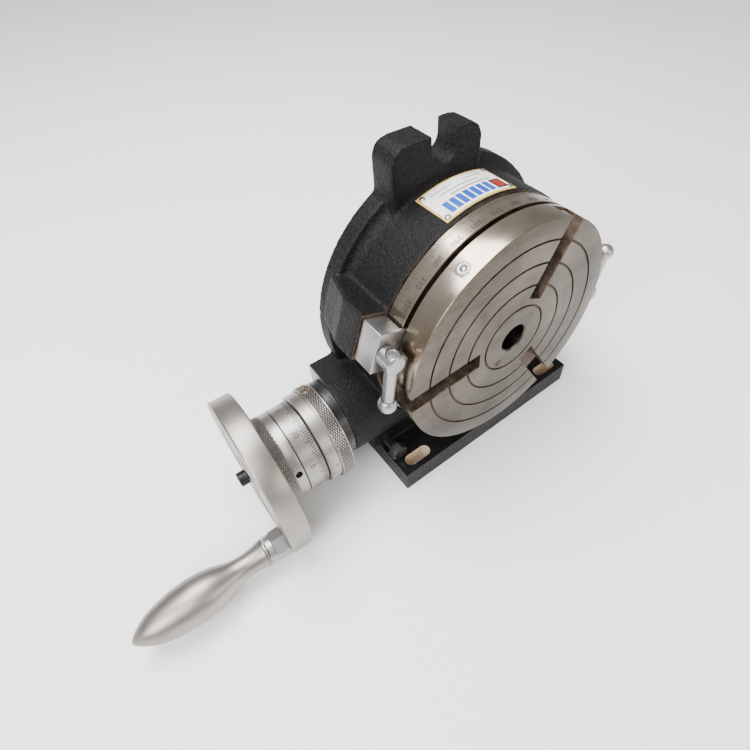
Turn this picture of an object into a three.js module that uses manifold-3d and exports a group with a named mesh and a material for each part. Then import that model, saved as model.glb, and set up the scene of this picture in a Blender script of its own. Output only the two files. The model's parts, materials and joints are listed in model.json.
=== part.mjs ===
// A 6 inch class horizontal and vertical rotary table, standing on its vertical foot.
// Millimetres, +Z up. The origin is the middle of the foot's underside.
//
// Frames, each a THREE.Group:
//   machine  on the table's axis at its face: x right, y up, z out of the face
//   worm     on the worm's axis: x to the front, y up, z out along the shaft to the crank
//   sleeve   parallel to the worm frame, on the eccentric sleeve's own axis
//   clamp    turned about the table's axis: x outwards, y along the rim, z out of the face
// A depth is a distance behind the table's face, so it is -z in the machine frame.
import * as THREE from "three";
import { mergeVertices } from "three/addons/utils/BufferGeometryUtils.js";
import Module from "manifold-3d";

const wasm = await Module();
wasm.setup();

// ---------------------------------------------------------------- driving dimensions
const GAP = 0.3; // clearance between neighbours that rest on each other
const RUNNING = 0.3; // radial clearance of a part that turns in a hole

const axisHeight = 100; // table axis above the foot's underside
const tableRadius = 75;
const boreRadius = 8.9; // Morse taper 2 at its mouth
const boreTaper = 0.025; // radius lost per mm of depth
const boreChamfer = 0.8;
const rimDepth = 15.1; // polished rim, from the face to the clamp groove
const grooveWidth = 2.8;
const grooveDepth = 5;
const bandWidth = 11.8; // graduated band behind the groove
const ringRadii = [22.3, 35.9, 49.2, 62.5];
const ringWidth = 0.9;
const ringDepth = 0.8;
const slotAngles = [182.8, 302.8, 62.8];
const slotWidth = 10.9;
const slotNeckDepth = 6.5;
const slotHeadWidth = 17;
const slotHeadDepth = 6;
const slotInnerRadius = 26.5;

const spindleRadius = 20;
const spindleThreadRadius = 17;
const spindleLength = 73.5; // from the face to the spindle's end
const wheelSeatRadius = 30;
const hubRadius = 38; // hub in front of the worm wheel

const bodyRadius = 76;
const flangeRadius = 82.6;
const flangeThickness = 11;
const baseDepth = 77; // from the face to the base's back
const chamberRadius = 46;
const chamberDepth = 57.5;
const bearingWallEnd = 66.8;
const rearRecessRadius = 28.5;

const footWidth = 152;
const footThickness = 17;
const footSetback = 5; // the foot's front edge behind the table's face
const footDepth = baseDepth - footSetback;
const footSlotLength = 19;
const footSlotWidth = 8;
const footSlotSetback = 8; // slot centre behind the foot's front edge
const footSlotX = 61;

const lugLeft = -38.5;
const lugRight = 20.5;
const lugTop = 100; // above the table's axis
const lugDepth = 60; // depth of the lug's front face
const lugSlotX = -5;
const lugSlotWidth = 18;
const lugSlotFloor = 83.5; // lowest point of the open slot, above the table's axis
const lugCornerRadius = 7;

const gearModule = 0.9;
const wheelTeeth = 90;
const wormPitchRadius = 10;
const wheelWidth = 10;
const backlash = 0.22; // on each side of the worm's thread
const wormDepth = 48;
const wormTurns = 6;

const sleeveOffset = { front: -4, up: 2 }; // sleeve axis from the worm axis
const sleeveRadius = 19;
const sleeveBoreRadius = 12.3;
const sleeveFlangeRadius = 24.8;
const housingRadius = 26;
const housingEnd = 96; // worm frame z of the housing's machined end face
const housingTop = 77 - axisHeight; // above the table's axis
const sleeveInnerEnd = -34;

const shaftRadius = 8;
const rearJournalRadius = 6;
const crankSeatRadius = 7;
const collarRadius = 28.8;
const collarKnurlRadius = 30.3;
const collarStart = 103;
const dialRadius = 26.8;
const dialStart = 119.3;
const lockRingStart = 131.7;
const crankStart = 144;
const crankThickness = 13;
const crankHubRadius = 47;
const crankTipRadius = 9.8;
const crankThrow = 44;
const crankAngle = -45; // arm direction in the worm frame at rest

const clampAngles = { left: 160.5, right: -11 };
const clampLeverAngles = { left: 101, right: 88 };
const clampStudOffset = 9; // stud axis outside the table's rim
const clampReach = 14.6; // outer end of the clamp block outside the table's rim
const clampWidth = 24;
const clampScrewRadius = 5;
const clampHeadRadius = 5.5;
const clampLeverLength = 31;
const clampRodRadius = 3.4;
const clampBallRadius = 5.3;

// ---------------------------------------------------------------- values that follow
const bandStart = rimDepth + grooveWidth;
const platenDepth = bandStart + bandWidth;
const baseFront = platenDepth + 0.6;
const grooveFloorRadius = tableRadius - grooveDepth;
const clampStudRadius = tableRadius + clampStudOffset;
const clampOuterRadius = tableRadius + clampReach;
const flangeFront = baseDepth - flangeThickness;
const wheelPitchRadius = (gearModule * wheelTeeth) / 2;
const centreDistance = wheelPitchRadius + wormPitchRadius;
const lead = Math.PI * gearModule;
const crankEnd = crankStart + crankThickness;
const faceY = -footDepth / 2 - footSetback; // world y of the table's face
const rad = THREE.MathUtils.degToRad;

// ---------------------------------------------------------------- finishes
const finishes = {
  castBlack: { color: 0x2b2b2d, roughness: 0.85, metalness: 0.1 },
  blackSteel: { color: 0x1c1c1e, roughness: 0.45, metalness: 0.6 },
  groundSteel: { color: 0x9c938a, roughness: 0.35, metalness: 0.9 },
  satinAluminium: { color: 0xc4c0bb, roughness: 0.4, metalness: 0.85 },
  plainSteel: { color: 0xb4b2ae, roughness: 0.35, metalness: 0.9 },
  bronze: { color: 0xa9794a, roughness: 0.4, metalness: 0.85 },
  plate: { color: 0xe9e2c6, roughness: 0.5, metalness: 0.3 },
};

// ---------------------------------------------------------------- solids and meshes
function solid(geometry) {
  const bare = new THREE.BufferGeometry();
  const source = geometry.index ? geometry.toNonIndexed() : geometry;
  bare.setAttribute("position", source.getAttribute("position").clone());
  const merged = mergeVertices(bare, 1e-4);
  const mesh = new wasm.Mesh({
    numProp: 3,
    vertProperties: merged.attributes.position.array,
    triVerts: new Uint32Array(merged.index.array),
  });
  return new wasm.Manifold(mesh);
}

function geometryOf(body) {
  const mesh = body.getMesh();
  const points = new Float32Array(mesh.numVert * 3);
  for (let i = 0; i < mesh.numVert; i++)
    points.set(mesh.vertProperties.subarray(i * mesh.numProp, i * mesh.numProp + 3), i * 3);
  const indexed = new THREE.BufferGeometry();
  indexed.setAttribute("position", new THREE.BufferAttribute(points, 3));
  indexed.setIndex(new THREE.BufferAttribute(mesh.triVerts, 1));
  const flat = indexed.toNonIndexed();
  flat.computeVertexNormals();
  return flat;
}

function part(name, body, finish) {
  const geometry = body.isBufferGeometry ? body : geometryOf(body);
  const mesh = new THREE.Mesh(geometry, new THREE.MeshStandardMaterial(finishes[finish]));
  mesh.name = name;
  return mesh;
}

const join = (bodies) => bodies.reduce((whole, next) => whole.add(next));
const cut = (body, tools) => tools.reduce((rest, tool) => rest.subtract(tool), body);

// A profile of [radius, z] points, from the bottom up its outside, turned about z.
function turned(profile, segments = 40) {
  const points = profile.map(([r, z]) => new THREE.Vector2(r, z));
  return new THREE.LatheGeometry(points, segments).rotateX(Math.PI / 2);
}

function disc(radius, z0, z1, segments = 40) {
  return solid(turned([[0, z0], [radius, z0], [radius, z1], [0, z1]], segments));
}

function ring(inner, outer, z0, z1, segments = 40) {
  return turned([[inner, z0], [outer, z0], [outer, z1], [inner, z1], [inner, z0]], segments);
}

// An outline in x and y, raised from z0 to z1.
function prism(outline, z0, z1) {
  const listed = Array.isArray(outline);
  const shape = listed ? new THREE.Shape(outline.map((p) => new THREE.Vector2(...p))) : outline;
  const settings = { depth: z1 - z0, bevelEnabled: false, curveSegments: 12 };
  return new THREE.ExtrudeGeometry(shape, settings).translate(0, 0, z0);
}

// A box given by its lowest and highest corners.
function block(low, high) {
  const size = high.map((h, i) => h - low[i]);
  const middle = high.map((h, i) => (h + low[i]) / 2);
  return solid(new THREE.BoxGeometry(...size).translate(...middle));
}

// A disc whose axis runs along x, for a bore or a boss in the machine frame.
function discAlongX(radius, x0, x1, y, z, segments = 40) {
  const geometry = turned([[0, x0], [radius, x0], [radius, x1], [0, x1]], segments);
  return solid(geometry.rotateY(Math.PI / 2).translate(0, y, z));
}

function placed(mesh, x, y, z = 0) {
  mesh.position.set(x, y, z);
  return mesh;
}

const polar = (radius, degrees) => [radius * Math.cos(rad(degrees)), radius * Math.sin(rad(degrees))];

function group(...children) {
  const made = new THREE.Group();
  made.add(...children);
  return made;
}

// ---------------------------------------------------------------- table
function tableSlot(degrees) {
  const reach = tableRadius + 5;
  const across = (width, z0, z1) =>
    block([slotInnerRadius, -width / 2, z0], [reach, width / 2, z1]);
  const neck = across(slotWidth, -slotNeckDepth - 1, 1);
  const head = across(slotHeadWidth, -slotNeckDepth - slotHeadDepth, -slotNeckDepth);
  return neck.add(head).rotate([0, 0, degrees]);
}

function platen() {
  const outline = [
    [0, -spindleLength],
    [spindleThreadRadius, -spindleLength],
    [spindleThreadRadius, -bearingWallEnd],
    [spindleRadius, -bearingWallEnd],
    [spindleRadius, -wheelBack - 2],
    [wheelSeatRadius, -wheelBack - 2],
    [wheelSeatRadius, -wheelFront + GAP],
    [hubRadius, -wheelFront + GAP],
    [hubRadius, -platenDepth],
    [tableRadius, -platenDepth],
    [tableRadius, -bandStart],
    [grooveFloorRadius, -bandStart],
    [grooveFloorRadius, -rimDepth],
    [tableRadius, -rimDepth],
    [tableRadius, -0.5],
    [tableRadius - 0.5, 0],
    [0, 0],
  ];
  const taperEnd = boreRadius - boreTaper * spindleLength;
  const bore = turned([
    [0, -spindleLength - 1],
    [taperEnd, -spindleLength - 1],
    [boreRadius, -boreChamfer],
    [boreRadius + boreChamfer, 0],
    [boreRadius + boreChamfer, 1],
    [0, 1],
  ]);
  const rings = ringRadii.map((r) => solid(ring(r - ringWidth / 2, r + ringWidth / 2, -ringDepth, 1, 72)));
  const seats = oilerSeats();
  const tapped = wheelScrewHoles(-wheelFront - 1, -wheelScrewTip + GAP);
  const slots = slotAngles.map(tableSlot);
  return cut(solid(turned(outline, 72)), [solid(bore), ...rings, ...slots, ...seats, ...tapped]);
}

const rimOiler = { angle: 120.3, depth: 7.5, radius: 3.6, length: 4 };
const faceOiler = { angle: 235, at: 18.3, radius: 2.4, length: 3 };

function oilerBody(oiler) {
  const lip = oiler.radius - 0.5;
  const ball = oiler.radius * 0.4;
  return turned([
    [0, -oiler.length],
    [oiler.radius, -oiler.length],
    [oiler.radius, 0],
    [lip, 0.25],
    [ball, -0.4],
    [ball * 0.7, 0],
    [0, 0.15],
  ], 16);
}

function oilerSeats() {
  const hole = (oiler) => disc(oiler.radius + RUNNING, -oiler.length - GAP, 2, 24);
  const rim = hole(rimOiler)
    .rotate([0, 90, 0])
    .translate([tableRadius, 0, -rimOiler.depth])
    .rotate([0, 0, rimOiler.angle]);
  const face = hole(faceOiler).translate([...polar(faceOiler.at, faceOiler.angle), 0]);
  return [rim, face];
}

function oilers() {
  const rim = part("rim_oiler", oilerBody(rimOiler), "plainSteel");
  rim.rotation.y = Math.PI / 2;
  rim.position.set(tableRadius, 0, -rimOiler.depth);
  const turnedRim = group(rim);
  turnedRim.rotation.z = rad(rimOiler.angle);
  const face = part("face_oiler", oilerBody(faceOiler), "plainSteel");
  return [turnedRim, placed(face, ...polar(faceOiler.at, faceOiler.angle))];
}

// Worm wheel: straight flanks on a ring, with a gap facing the worm at rest.
function wheelOutline() {
  const shape = new THREE.Shape();
  const tip = wheelPitchRadius + gearModule;
  const root = wheelPitchRadius - 1.2 * gearModule;
  const pitch = 360 / wheelTeeth;
  const steps = [[root, 0.16], [tip, 0.36], [tip, 0.64], [root, 0.84]];
  for (let tooth = 0; tooth < wheelTeeth; tooth++)
    for (const [radius, share] of steps) {
      const [x, y] = polar(radius, -90 + (tooth + share) * pitch);
      if (tooth === 0 && share === steps[0][1]) shape.moveTo(x, y);
      else shape.lineTo(x, y);
    }
  shape.holes.push(new THREE.Path().absarc(0, 0, wheelSeatRadius + GAP, 0, 2 * Math.PI, true));
  return shape;
}

const wheelScrew = { at: 34.3, radius: 2, headRadius: 3.4, headHeight: 3.2 };
const wheelScrewAngles = [0, 120, 240];
const wheelBack = wormDepth + wheelWidth / 2;
const wheelFront = wormDepth - wheelWidth / 2;
const wheelScrewTip = platenDepth + 5;

function wheelScrewHoles(from, to) {
  return wheelScrewAngles.map((angle) => {
    const hole = disc(wheelScrew.radius + RUNNING, from, to, 16);
    return hole.translate([...polar(wheelScrew.at, angle), 0]);
  });
}

function wormWheel() {
  const teeth = solid(prism(wheelOutline(), -wheelBack, -wheelFront));
  return cut(teeth, wheelScrewHoles(-wheelBack - 1, -wheelFront + 1));
}

function wheelScrews() {
  const seat = -wheelBack - GAP;
  return wheelScrewAngles.map((angle, i) => {
    const profile = [
      [0, seat - wheelScrew.headHeight],
      [wheelScrew.headRadius, seat - wheelScrew.headHeight],
      [wheelScrew.headRadius, seat],
      [wheelScrew.radius, seat],
      [wheelScrew.radius, -wheelScrewTip],
      [0, -wheelScrewTip],
    ];
    const screw = part("worm_wheel_screw_" + (i + 1), turned(profile, 16), "blackSteel");
    return placed(screw, ...polar(wheelScrew.at, angle));
  });
}

function retainingNut() {
  const start = bearingWallEnd + GAP;
  const nut = solid(ring(spindleThreadRadius + RUNNING, 26.5, -start - 5.8, -start));
  const notches = [0, 90, 180, 270].map((angle) =>
    block([23.5, -2.5, -start - 7], [28, 2.5, -start + 1]).rotate([0, 0, angle]),
  );
  return cut(nut, notches);
}

function tableAssembly() {
  return group(
    part("table_platen", platen(), "groundSteel"),
    part("worm_wheel", wormWheel(), "bronze"),
    part("spindle_retaining_nut", retainingNut(), "plainSteel"),
    ...wheelScrews(),
    ...oilers(),
  );
}

// ---------------------------------------------------------------- base
const thrustRing = { inner: 50, outer: tableRadius - 7, thickness: 2.4 };
const bush = { wall: 2 };
const clampBolt = { x: -72, up: footThickness + 8.5 - axisHeight, depth: 16.5, radius: 3, flats: 10, head: 5.6, length: 34 };
const bossHalfWidth = 14;
const bossEnd = 54;
const bossOuterRadius = clampOuterRadius + 1.4;

function lugBody() {
  const outline = new THREE.Shape();
  const r = lugCornerRadius;
  outline.moveTo(lugLeft, bodyRadius * 0.6);
  outline.lineTo(lugRight, bodyRadius * 0.6);
  outline.lineTo(lugRight, lugTop - r);
  outline.absarc(lugRight - r, lugTop - r, r, 0, Math.PI / 2, false);
  outline.lineTo(lugLeft + r, lugTop);
  outline.absarc(lugLeft + r, lugTop - r, r, Math.PI / 2, Math.PI, false);
  return solid(prism(outline, -baseDepth, -lugDepth));
}

function lugSlot() {
  const half = lugSlotWidth / 2;
  const outline = new THREE.Shape();
  const centre = lugSlotFloor + half;
  outline.moveTo(lugSlotX + half, lugTop + 5);
  outline.lineTo(lugSlotX - half, lugTop + 5);
  outline.lineTo(lugSlotX - half, centre);
  outline.absarc(lugSlotX, centre, half, Math.PI, 2 * Math.PI, false);
  return solid(prism(outline, -baseDepth - 5, -lugDepth + 20));
}

function footSlot(side) {
  const half = footSlotWidth / 2;
  const straight = (footSlotLength - footSlotWidth) / 2;
  const outline = new THREE.Shape();
  outline.moveTo(-straight, -half);
  outline.lineTo(straight, -half);
  outline.absarc(straight, 0, half, -Math.PI / 2, Math.PI / 2, false);
  outline.lineTo(-straight, half);
  outline.absarc(-straight, 0, half, Math.PI / 2, 1.5 * Math.PI, false);
  const slot = solid(prism(outline, -5, footThickness + 5)).rotate([-90, 0, 0]);
  return slot.translate([side * footSlotX, -axisHeight, -footSetback - footSlotSetback]);
}

function clampBoss(degrees) {
  const outline = [
    [bodyRadius - 16, -baseFront],
    [bossOuterRadius, -baseFront],
    [bossOuterRadius, -bossEnd],
    [flangeRadius - 2, -flangeFront - 2],
    [bodyRadius - 16, -flangeFront - 2],
  ].reverse();
  const geometry = prism(outline, -bossHalfWidth, bossHalfWidth).rotateX(Math.PI / 2);
  const hole = disc(clampScrewRadius + RUNNING, -clampStudEnd - 2, 0, 24).translate([clampStudRadius, 0, 0]);
  return { body: solid(geometry).rotate([0, 0, degrees]), hole: hole.rotate([0, 0, degrees]) };
}
const clampStudEnd = 46;

// The sleeve's axis in the machine frame.
const sleeveAxis = {
  up: -centreDistance + sleeveOffset.up,
  z: -wormDepth + sleeveOffset.front,
};

function housingBody() {
  const back = 76;
  const inner = 42;
  const behind = block([-housingEnd - 1, -axisHeight, -baseDepth - 9], [inner + 1, 0, -back]);
  const barrel = discAlongX(housingRadius, -housingEnd, inner, sleeveAxis.up, sleeveAxis.z, 64);
  const round = barrel.subtract(behind);
  const square = block(
    [-housingEnd, sleeveAxis.up - housingRadius, -back],
    [inner, housingTop, sleeveAxis.z],
  );
  const pad = block(
    [clampBolt.x - 9, footThickness - axisHeight - 1, -back],
    [clampBolt.x + 12, sleeveAxis.up, -34],
  );
  return join([round, square, pad]);
}

function baseCasting() {
  const body = disc(bodyRadius, -baseDepth, -baseFront, 72);
  const flange = solid(turned([
    [0, -baseDepth],
    [flangeRadius - 1, -baseDepth],
    [flangeRadius, -baseDepth + 1],
    [flangeRadius, -flangeFront - 2.5],
    [flangeRadius - 2.5, -flangeFront],
    [0, -flangeFront],
  ], 72));
  const halfFoot = footWidth / 2;
  const foot = block(
    [-halfFoot, -axisHeight, -baseDepth],
    [halfFoot, footThickness - axisHeight, -footSetback],
  );
  const web = block([-60, footThickness - axisHeight - 1, -baseDepth], [60, -30, -34]);
  const bosses = Object.values(clampAngles).map(clampBoss);
  const whole = join([body, flange, foot, web, lugBody(), housingBody(), ...bosses.map((b) => b.body)]);
  const openings = [
    disc(tableRadius + 1, -baseFront, 5, 72),
    disc(chamberRadius, -chamberDepth, 5, 72),
    solid(ring(thrustRing.inner - GAP, thrustRing.outer + GAP, -thrustRingBack - GAP, 5, 72)),
    disc(spindleRadius + bush.wall + RUNNING, -bearingWallEnd - 5, 0),
    disc(rearRecessRadius, -baseDepth - 5, -bearingWallEnd),
    discAlongX(sleeveRadius + RUNNING, -housingEnd - 5, -sleeveInnerEnd + 1, sleeveAxis.up, sleeveAxis.z),
    lugSlot(),
    footSlot(-1),
    footSlot(1),
    clampBoltHole(),
    ...bosses.map((b) => b.hole),
    ...rivetPlaces().map(rivetHole),
  ];
  return cut(whole, openings);
}
const thrustRingFront = platenDepth + GAP;
const thrustRingBack = thrustRingFront + thrustRing.thickness;

function clampBoltHole() {
  const hole = disc(clampBolt.radius + RUNNING, -clampBolt.depth - clampBolt.head - clampBolt.length - 1, -34 + 5, 16);
  return hole.translate([clampBolt.x, clampBolt.up, 0]);
}

function sleeveClampBolt() {
  const hexagon = [0, 1, 2, 3, 4, 5].map((i) => polar(clampBolt.flats / Math.sqrt(3), 60 * i + 15));
  const head = solid(prism(hexagon, -clampBolt.head, 0));
  const shank = disc(clampBolt.radius, -clampBolt.head - clampBolt.length, -clampBolt.head + 1, 16);
  const bolt = part("sleeve_clamp_bolt", head.add(shank), "blackSteel");
  return placed(bolt, clampBolt.x, clampBolt.up, -clampBolt.depth);
}

// The nameplate follows the body's round side between two angles.
const nameplate = { from: 75, to: 110.5, front: 31.6, back: 57, thickness: 0.6, inset: 2.6, rivet: 0.9 };
const nameplateInner = bodyRadius + 0.25;

function arcBand(inner, outer, from, to) {
  const shape = new THREE.Shape();
  shape.absarc(0, 0, outer, rad(from), rad(to), false);
  shape.absarc(0, 0, inner, rad(to), rad(from), true);
  return shape;
}

function rivetPlaces() {
  const turn = THREE.MathUtils.radToDeg(nameplate.inset / bodyRadius);
  const places = [];
  for (const angle of [nameplate.from + turn, nameplate.to - turn])
    for (const depth of [nameplate.front + nameplate.inset, nameplate.back - nameplate.inset])
      places.push({ angle, depth });
  return places;
}

function rivetHole({ angle, depth }) {
  const hole = disc(nameplate.rivet + 0.2, -5, 3, 12).rotate([0, 90, 0]);
  return hole.translate([bodyRadius, 0, -depth]).rotate([0, 0, angle]);
}

function nameplateParts() {
  const band = arcBand(nameplateInner, nameplateInner + nameplate.thickness, nameplate.from, nameplate.to);
  const sheet = solid(prism(band, -nameplate.back, -nameplate.front));
  const plate = part("nameplate", cut(sheet, rivetPlaces().map(rivetHole)), "plate");
  const top = nameplateInner + nameplate.thickness - bodyRadius + 0.2;
  const rivets = rivetPlaces().map(({ angle, depth }, i) => {
    const profile = [
      [0, -4],
      [nameplate.rivet, -4],
      [nameplate.rivet, top],
      [nameplate.rivet * 1.8, top],
      [nameplate.rivet * 1.2, top + 0.6],
      [0, top + 0.7],
    ];
    const rivet = part("nameplate_rivet_" + (i + 1), turned(profile, 12), "plainSteel");
    rivet.rotation.y = Math.PI / 2;
    rivet.position.set(bodyRadius, 0, -depth);
    const turnedRivet = group(rivet);
    turnedRivet.rotation.z = rad(angle);
    return turnedRivet;
  });
  return [plate, ...rivets];
}

function baseAssembly() {
  const bushGeometry = ring(
    spindleRadius + RUNNING,
    spindleRadius + bush.wall,
    -bearingWallEnd + GAP,
    -chamberDepth,
  );
  const cover = ring(boreRadius + 2, rearRecessRadius - RUNNING, -baseDepth + 0.4, -spindleLength - 0.8);
  const thrust = ring(thrustRing.inner, thrustRing.outer, -thrustRingBack, -thrustRingFront, 72);
  return group(
    part("base_casting", baseCasting(), "castBlack"),
    part("spindle_bush", bushGeometry, "bronze"),
    part("thrust_ring", thrust, "bronze"),
    part("rear_cover", cover, "blackSteel"),
    sleeveClampBolt(),
    ...nameplateParts(),
  );
}

// ---------------------------------------------------------------- worm drive
function eccentricSleeve() {
  const worm = (body) => body.translate([-sleeveOffset.front, -sleeveOffset.up, 0]);
  const tube = disc(sleeveRadius, sleeveInnerEnd, housingEnd + 1, 64);
  const flange = disc(sleeveFlangeRadius, housingEnd + 0.4, collarStart - 0.5, 64);
  const neck = worm(disc(collarRadius - 8.8, collarStart - 1, dialStart - 1.2));
  const bore = worm(disc(sleeveBoreRadius, sleeveInnerEnd + 8, dialStart + 1));
  const rearBore = worm(disc(rearJournalRadius + 2.2, sleeveInnerEnd - 1, sleeveInnerEnd + 9, 32));
  const window = block([-30, 0, -31], [30, 40, 31]).rotate([0, 0, 11]);
  return cut(join([tube, flange, neck]), [bore, rearBore, window]);
}

// One thread on the worm: a four-sided section carried along a right-hand helix.
function wormThread() {
  const perTurn = 12;
  const steps = wormTurns * perTurn;
  const root = wormPitchRadius - 1.2 * gearModule - 0.4;
  const crest = wormPitchRadius + gearModule - 0.1;
  const flank = gearModule * Math.tan(rad(14.5));
  const halfCrest = lead / 4 - flank - backlash;
  const halfRoot = lead / 4 + flank * 1.2 - backlash;
  const points = [];
  for (let i = 0; i <= steps; i++) {
    const turn = i / perTurn - wormTurns / 2;
    const fade = Math.min(1, (wormTurns / 2 - Math.abs(turn)) * 2 + 0.15);
    const top = root + (crest - root) * fade;
    const angle = Math.PI / 2 + turn * 2 * Math.PI;
    const middle = turn * lead;
    for (const [r, shift] of [[root, -halfRoot], [top, -halfCrest], [top, halfCrest], [root, halfRoot]])
      points.push(r * Math.cos(angle), r * Math.sin(angle), middle + shift);
  }
  const faces = [];
  for (let i = 0; i < steps; i++)
    for (let k = 0; k < 4; k++) {
      const a = 4 * i + k;
      const b = 4 * i + ((k + 1) % 4);
      faces.push(a, a + 4, b, b, a + 4, b + 4);
    }
  const last = 4 * steps;
  faces.push(0, 1, 2, 0, 2, 3, last, last + 2, last + 1, last, last + 3, last + 2);
  const geometry = new THREE.BufferGeometry();
  geometry.setAttribute("position", new THREE.Float32BufferAttribute(points, 3));
  geometry.setIndex(faces);
  return geometry;
}

const rearBushRange = [sleeveInnerEnd + 1, sleeveInnerEnd + 8];
const frontBushRange = [58, 95];
const capScrew = { radius: 2.5, headRadius: 4.3, headHeight: 5.4, length: 16 };
const crankWeb = 4; // plate left between the shaft's end and the crank's outer face
const crankKey = { width: 3, from: crankStart + 1, to: crankEnd - crankWeb - 1, low: 5.2, high: 8.6 };

function wormShaft() {
  const threadRoot = wormPitchRadius - 1.2 * gearModule;
  const shaftEnd = crankEnd - crankWeb - GAP;
  const half = (wormTurns * lead) / 2 + 1.5;
  const profile = [
    [0, sleeveInnerEnd + 0.5],
    [rearJournalRadius, sleeveInnerEnd + 0.5],
    [rearJournalRadius, -half - 3],
    [threadRoot, -half - 1],
    [threadRoot, half + 1],
    [shaftRadius, half + 3],
    [shaftRadius, crankStart - 0.6],
    [crankSeatRadius, crankStart - 0.6],
    [crankSeatRadius, shaftEnd],
    [0, shaftEnd],
  ];
  const tapped = disc(capScrew.radius + RUNNING, shaftEnd - capScrew.length, shaftEnd + 1, 16);
  const keyway = keyBlock(0.3, crankKey.low - 0.3, crankSeatRadius + 2);
  return cut(solid(turned(profile)).add(solid(wormThread())), [tapped, keyway]);
}

function keyBlock(clearance, low, high) {
  const half = crankKey.width / 2 + clearance;
  return block([-half, low, crankKey.from - clearance], [half, high, crankKey.to + clearance]);
}

function vernierCollar() {
  const inner = collarRadius - 8.8 + RUNNING;
  const groove = 111.8;
  const profile = [
    [inner, collarStart],
    [collarKnurlRadius, collarStart],
    [collarKnurlRadius, groove - 0.4],
    [collarRadius, groove],
    [collarRadius, dialStart - 0.4],
    [inner, dialStart - 0.4],
    [inner, collarStart],
  ];
  const hole = screwSeat(vernierScrew);
  return cut(solid(turned(profile, 64)), [hole]);
}

// Radial screws in the collar and in the lock ring, by their place on the worm frame.
const vernierScrew = { angle: 114, z: 108.5, radius: 2, inner: 21.5, outer: 29 };
const lockScrew = { angle: 23.5, z: 135.2, radius: 1.7, inner: 21.5, outer: 25.4 };

function screwSeat(screw) {
  const hole = disc(screw.radius + RUNNING, screw.inner - GAP, collarKnurlRadius + 2, 16).rotate([0, 90, 0]);
  return hole.translate([0, 0, screw.z]).rotate([0, 0, screw.angle]);
}

function radialScrew(name, screw, finish) {
  const slot = block([-4, -0.35, screw.outer - 0.7], [4, 0.35, screw.outer + 1]);
  const body = cut(disc(screw.radius, screw.inner, screw.outer, 16), [slot]);
  const mesh = part(name, body, finish);
  mesh.rotation.y = Math.PI / 2;
  mesh.position.z = screw.z;
  const held = group(mesh);
  held.rotation.z = rad(screw.angle);
  return held;
}

function dialCarrier() {
  return ring(shaftRadius + RUNNING, 20, dialStart + 0.2, crankStart - 0.7);
}

function dial() {
  return ring(20 + RUNNING, dialRadius, dialStart, lockRingStart - GAP, 64);
}

function lockRing() {
  const profile = [
    [20 + RUNNING, lockRingStart],
    [dialRadius, lockRingStart],
    [dialRadius, 137],
    [dialRadius + 0.5, 137.4],
    [dialRadius + 0.5, crankStart - 0.7],
    [20 + RUNNING, crankStart - 0.7],
    [20 + RUNNING, lockRingStart],
  ];
  return cut(solid(turned(profile, 64)), [screwSeat(lockScrew)]);
}

// Outline of two circles joined by their common tangents, the small one on +x.
function tearOutline(big, small, reach) {
  const lean = Math.acos((big - small) / reach);
  const shape = new THREE.Shape();
  shape.absarc(0, 0, big, lean, 2 * Math.PI - lean, false);
  shape.absarc(reach, 0, small, -lean, lean, false);
  return shape;
}

function crankArm() {
  const shape = tearOutline(crankHubRadius, crankTipRadius, crankThrow);
  const settings = { depth: crankThickness - 1, bevelEnabled: true, bevelThickness: 0.5, bevelSize: 0.5 };
  Object.assign(settings, { bevelOffset: -0.5, bevelSegments: 1, curveSegments: 26 });
  const plate = solid(new THREE.ExtrudeGeometry(shape, settings).translate(0, 0, crankStart + 0.5));
  const seat = disc(crankSeatRadius + RUNNING, crankStart - 1, crankEnd - crankWeb);
  const screwHole = disc(capScrew.radius + RUNNING, crankStart, crankEnd + 1, 16);
  const pinHole = disc(handleBolt.threadRadius + RUNNING, crankStart + 2, crankEnd + 1, 24);
  const keyway = keyBlock(0.3, 0, crankKey.high + 0.3).rotate([0, 0, -crankAngle]);
  return cut(plate, [seat, screwHole, pinHole.translate([crankThrow, 0, 0]), keyway]);
}

const handleBolt = {
  threadRadius: 4,
  collarRadius: 8.3,
  flats: 15.2,
  collarEnd: 168,
  spindleRadius: 4,
  spindleEnd: 222,
};

function handleBoltBody() {
  const start = crankEnd + GAP;
  const hexagon = [0, 1, 2, 3, 4, 5].map((i) => polar(handleBolt.flats / Math.sqrt(3), 60 * i));
  const nut = solid(prism(hexagon, start, handleBolt.collarEnd - 3));
  const collar = disc(handleBolt.collarRadius, start, handleBolt.collarEnd).intersect(
    join([nut, disc(handleBolt.collarRadius, handleBolt.collarEnd - 3.5, handleBolt.collarEnd)]),
  );
  const thread = disc(handleBolt.threadRadius, crankStart + 2.5, start + 1, 24);
  const spindle = disc(handleBolt.spindleRadius, handleBolt.collarEnd - 1, handleBolt.spindleEnd, 24);
  return join([collar, thread, spindle]);
}

function handleGrip() {
  const start = handleBolt.collarEnd + 0.4;
  const bore = handleBolt.spindleRadius + RUNNING;
  return turned([
    [bore, start],
    [8.2, start],
    [8.2, 170],
    [7.3, 173.5],
    [6.6, 178],
    [6.6, 182],
    [7.1, 187],
    [8.4, 191.5],
    [10.2, 196.5],
    [11.6, 202],
    [12.3, 208],
    [12.4, 213],
    [12.0, 219],
    [11.2, 224.5],
    [10.0, 230],
    [8.4, 234.5],
    [6.3, 238.3],
    [3.6, 242],
    [1.3, 244.2],
    [0, 244.5],
    [0, handleBolt.spindleEnd + 1],
    [bore, handleBolt.spindleEnd + 1],
    [bore, start],
  ], 24);
}

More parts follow.
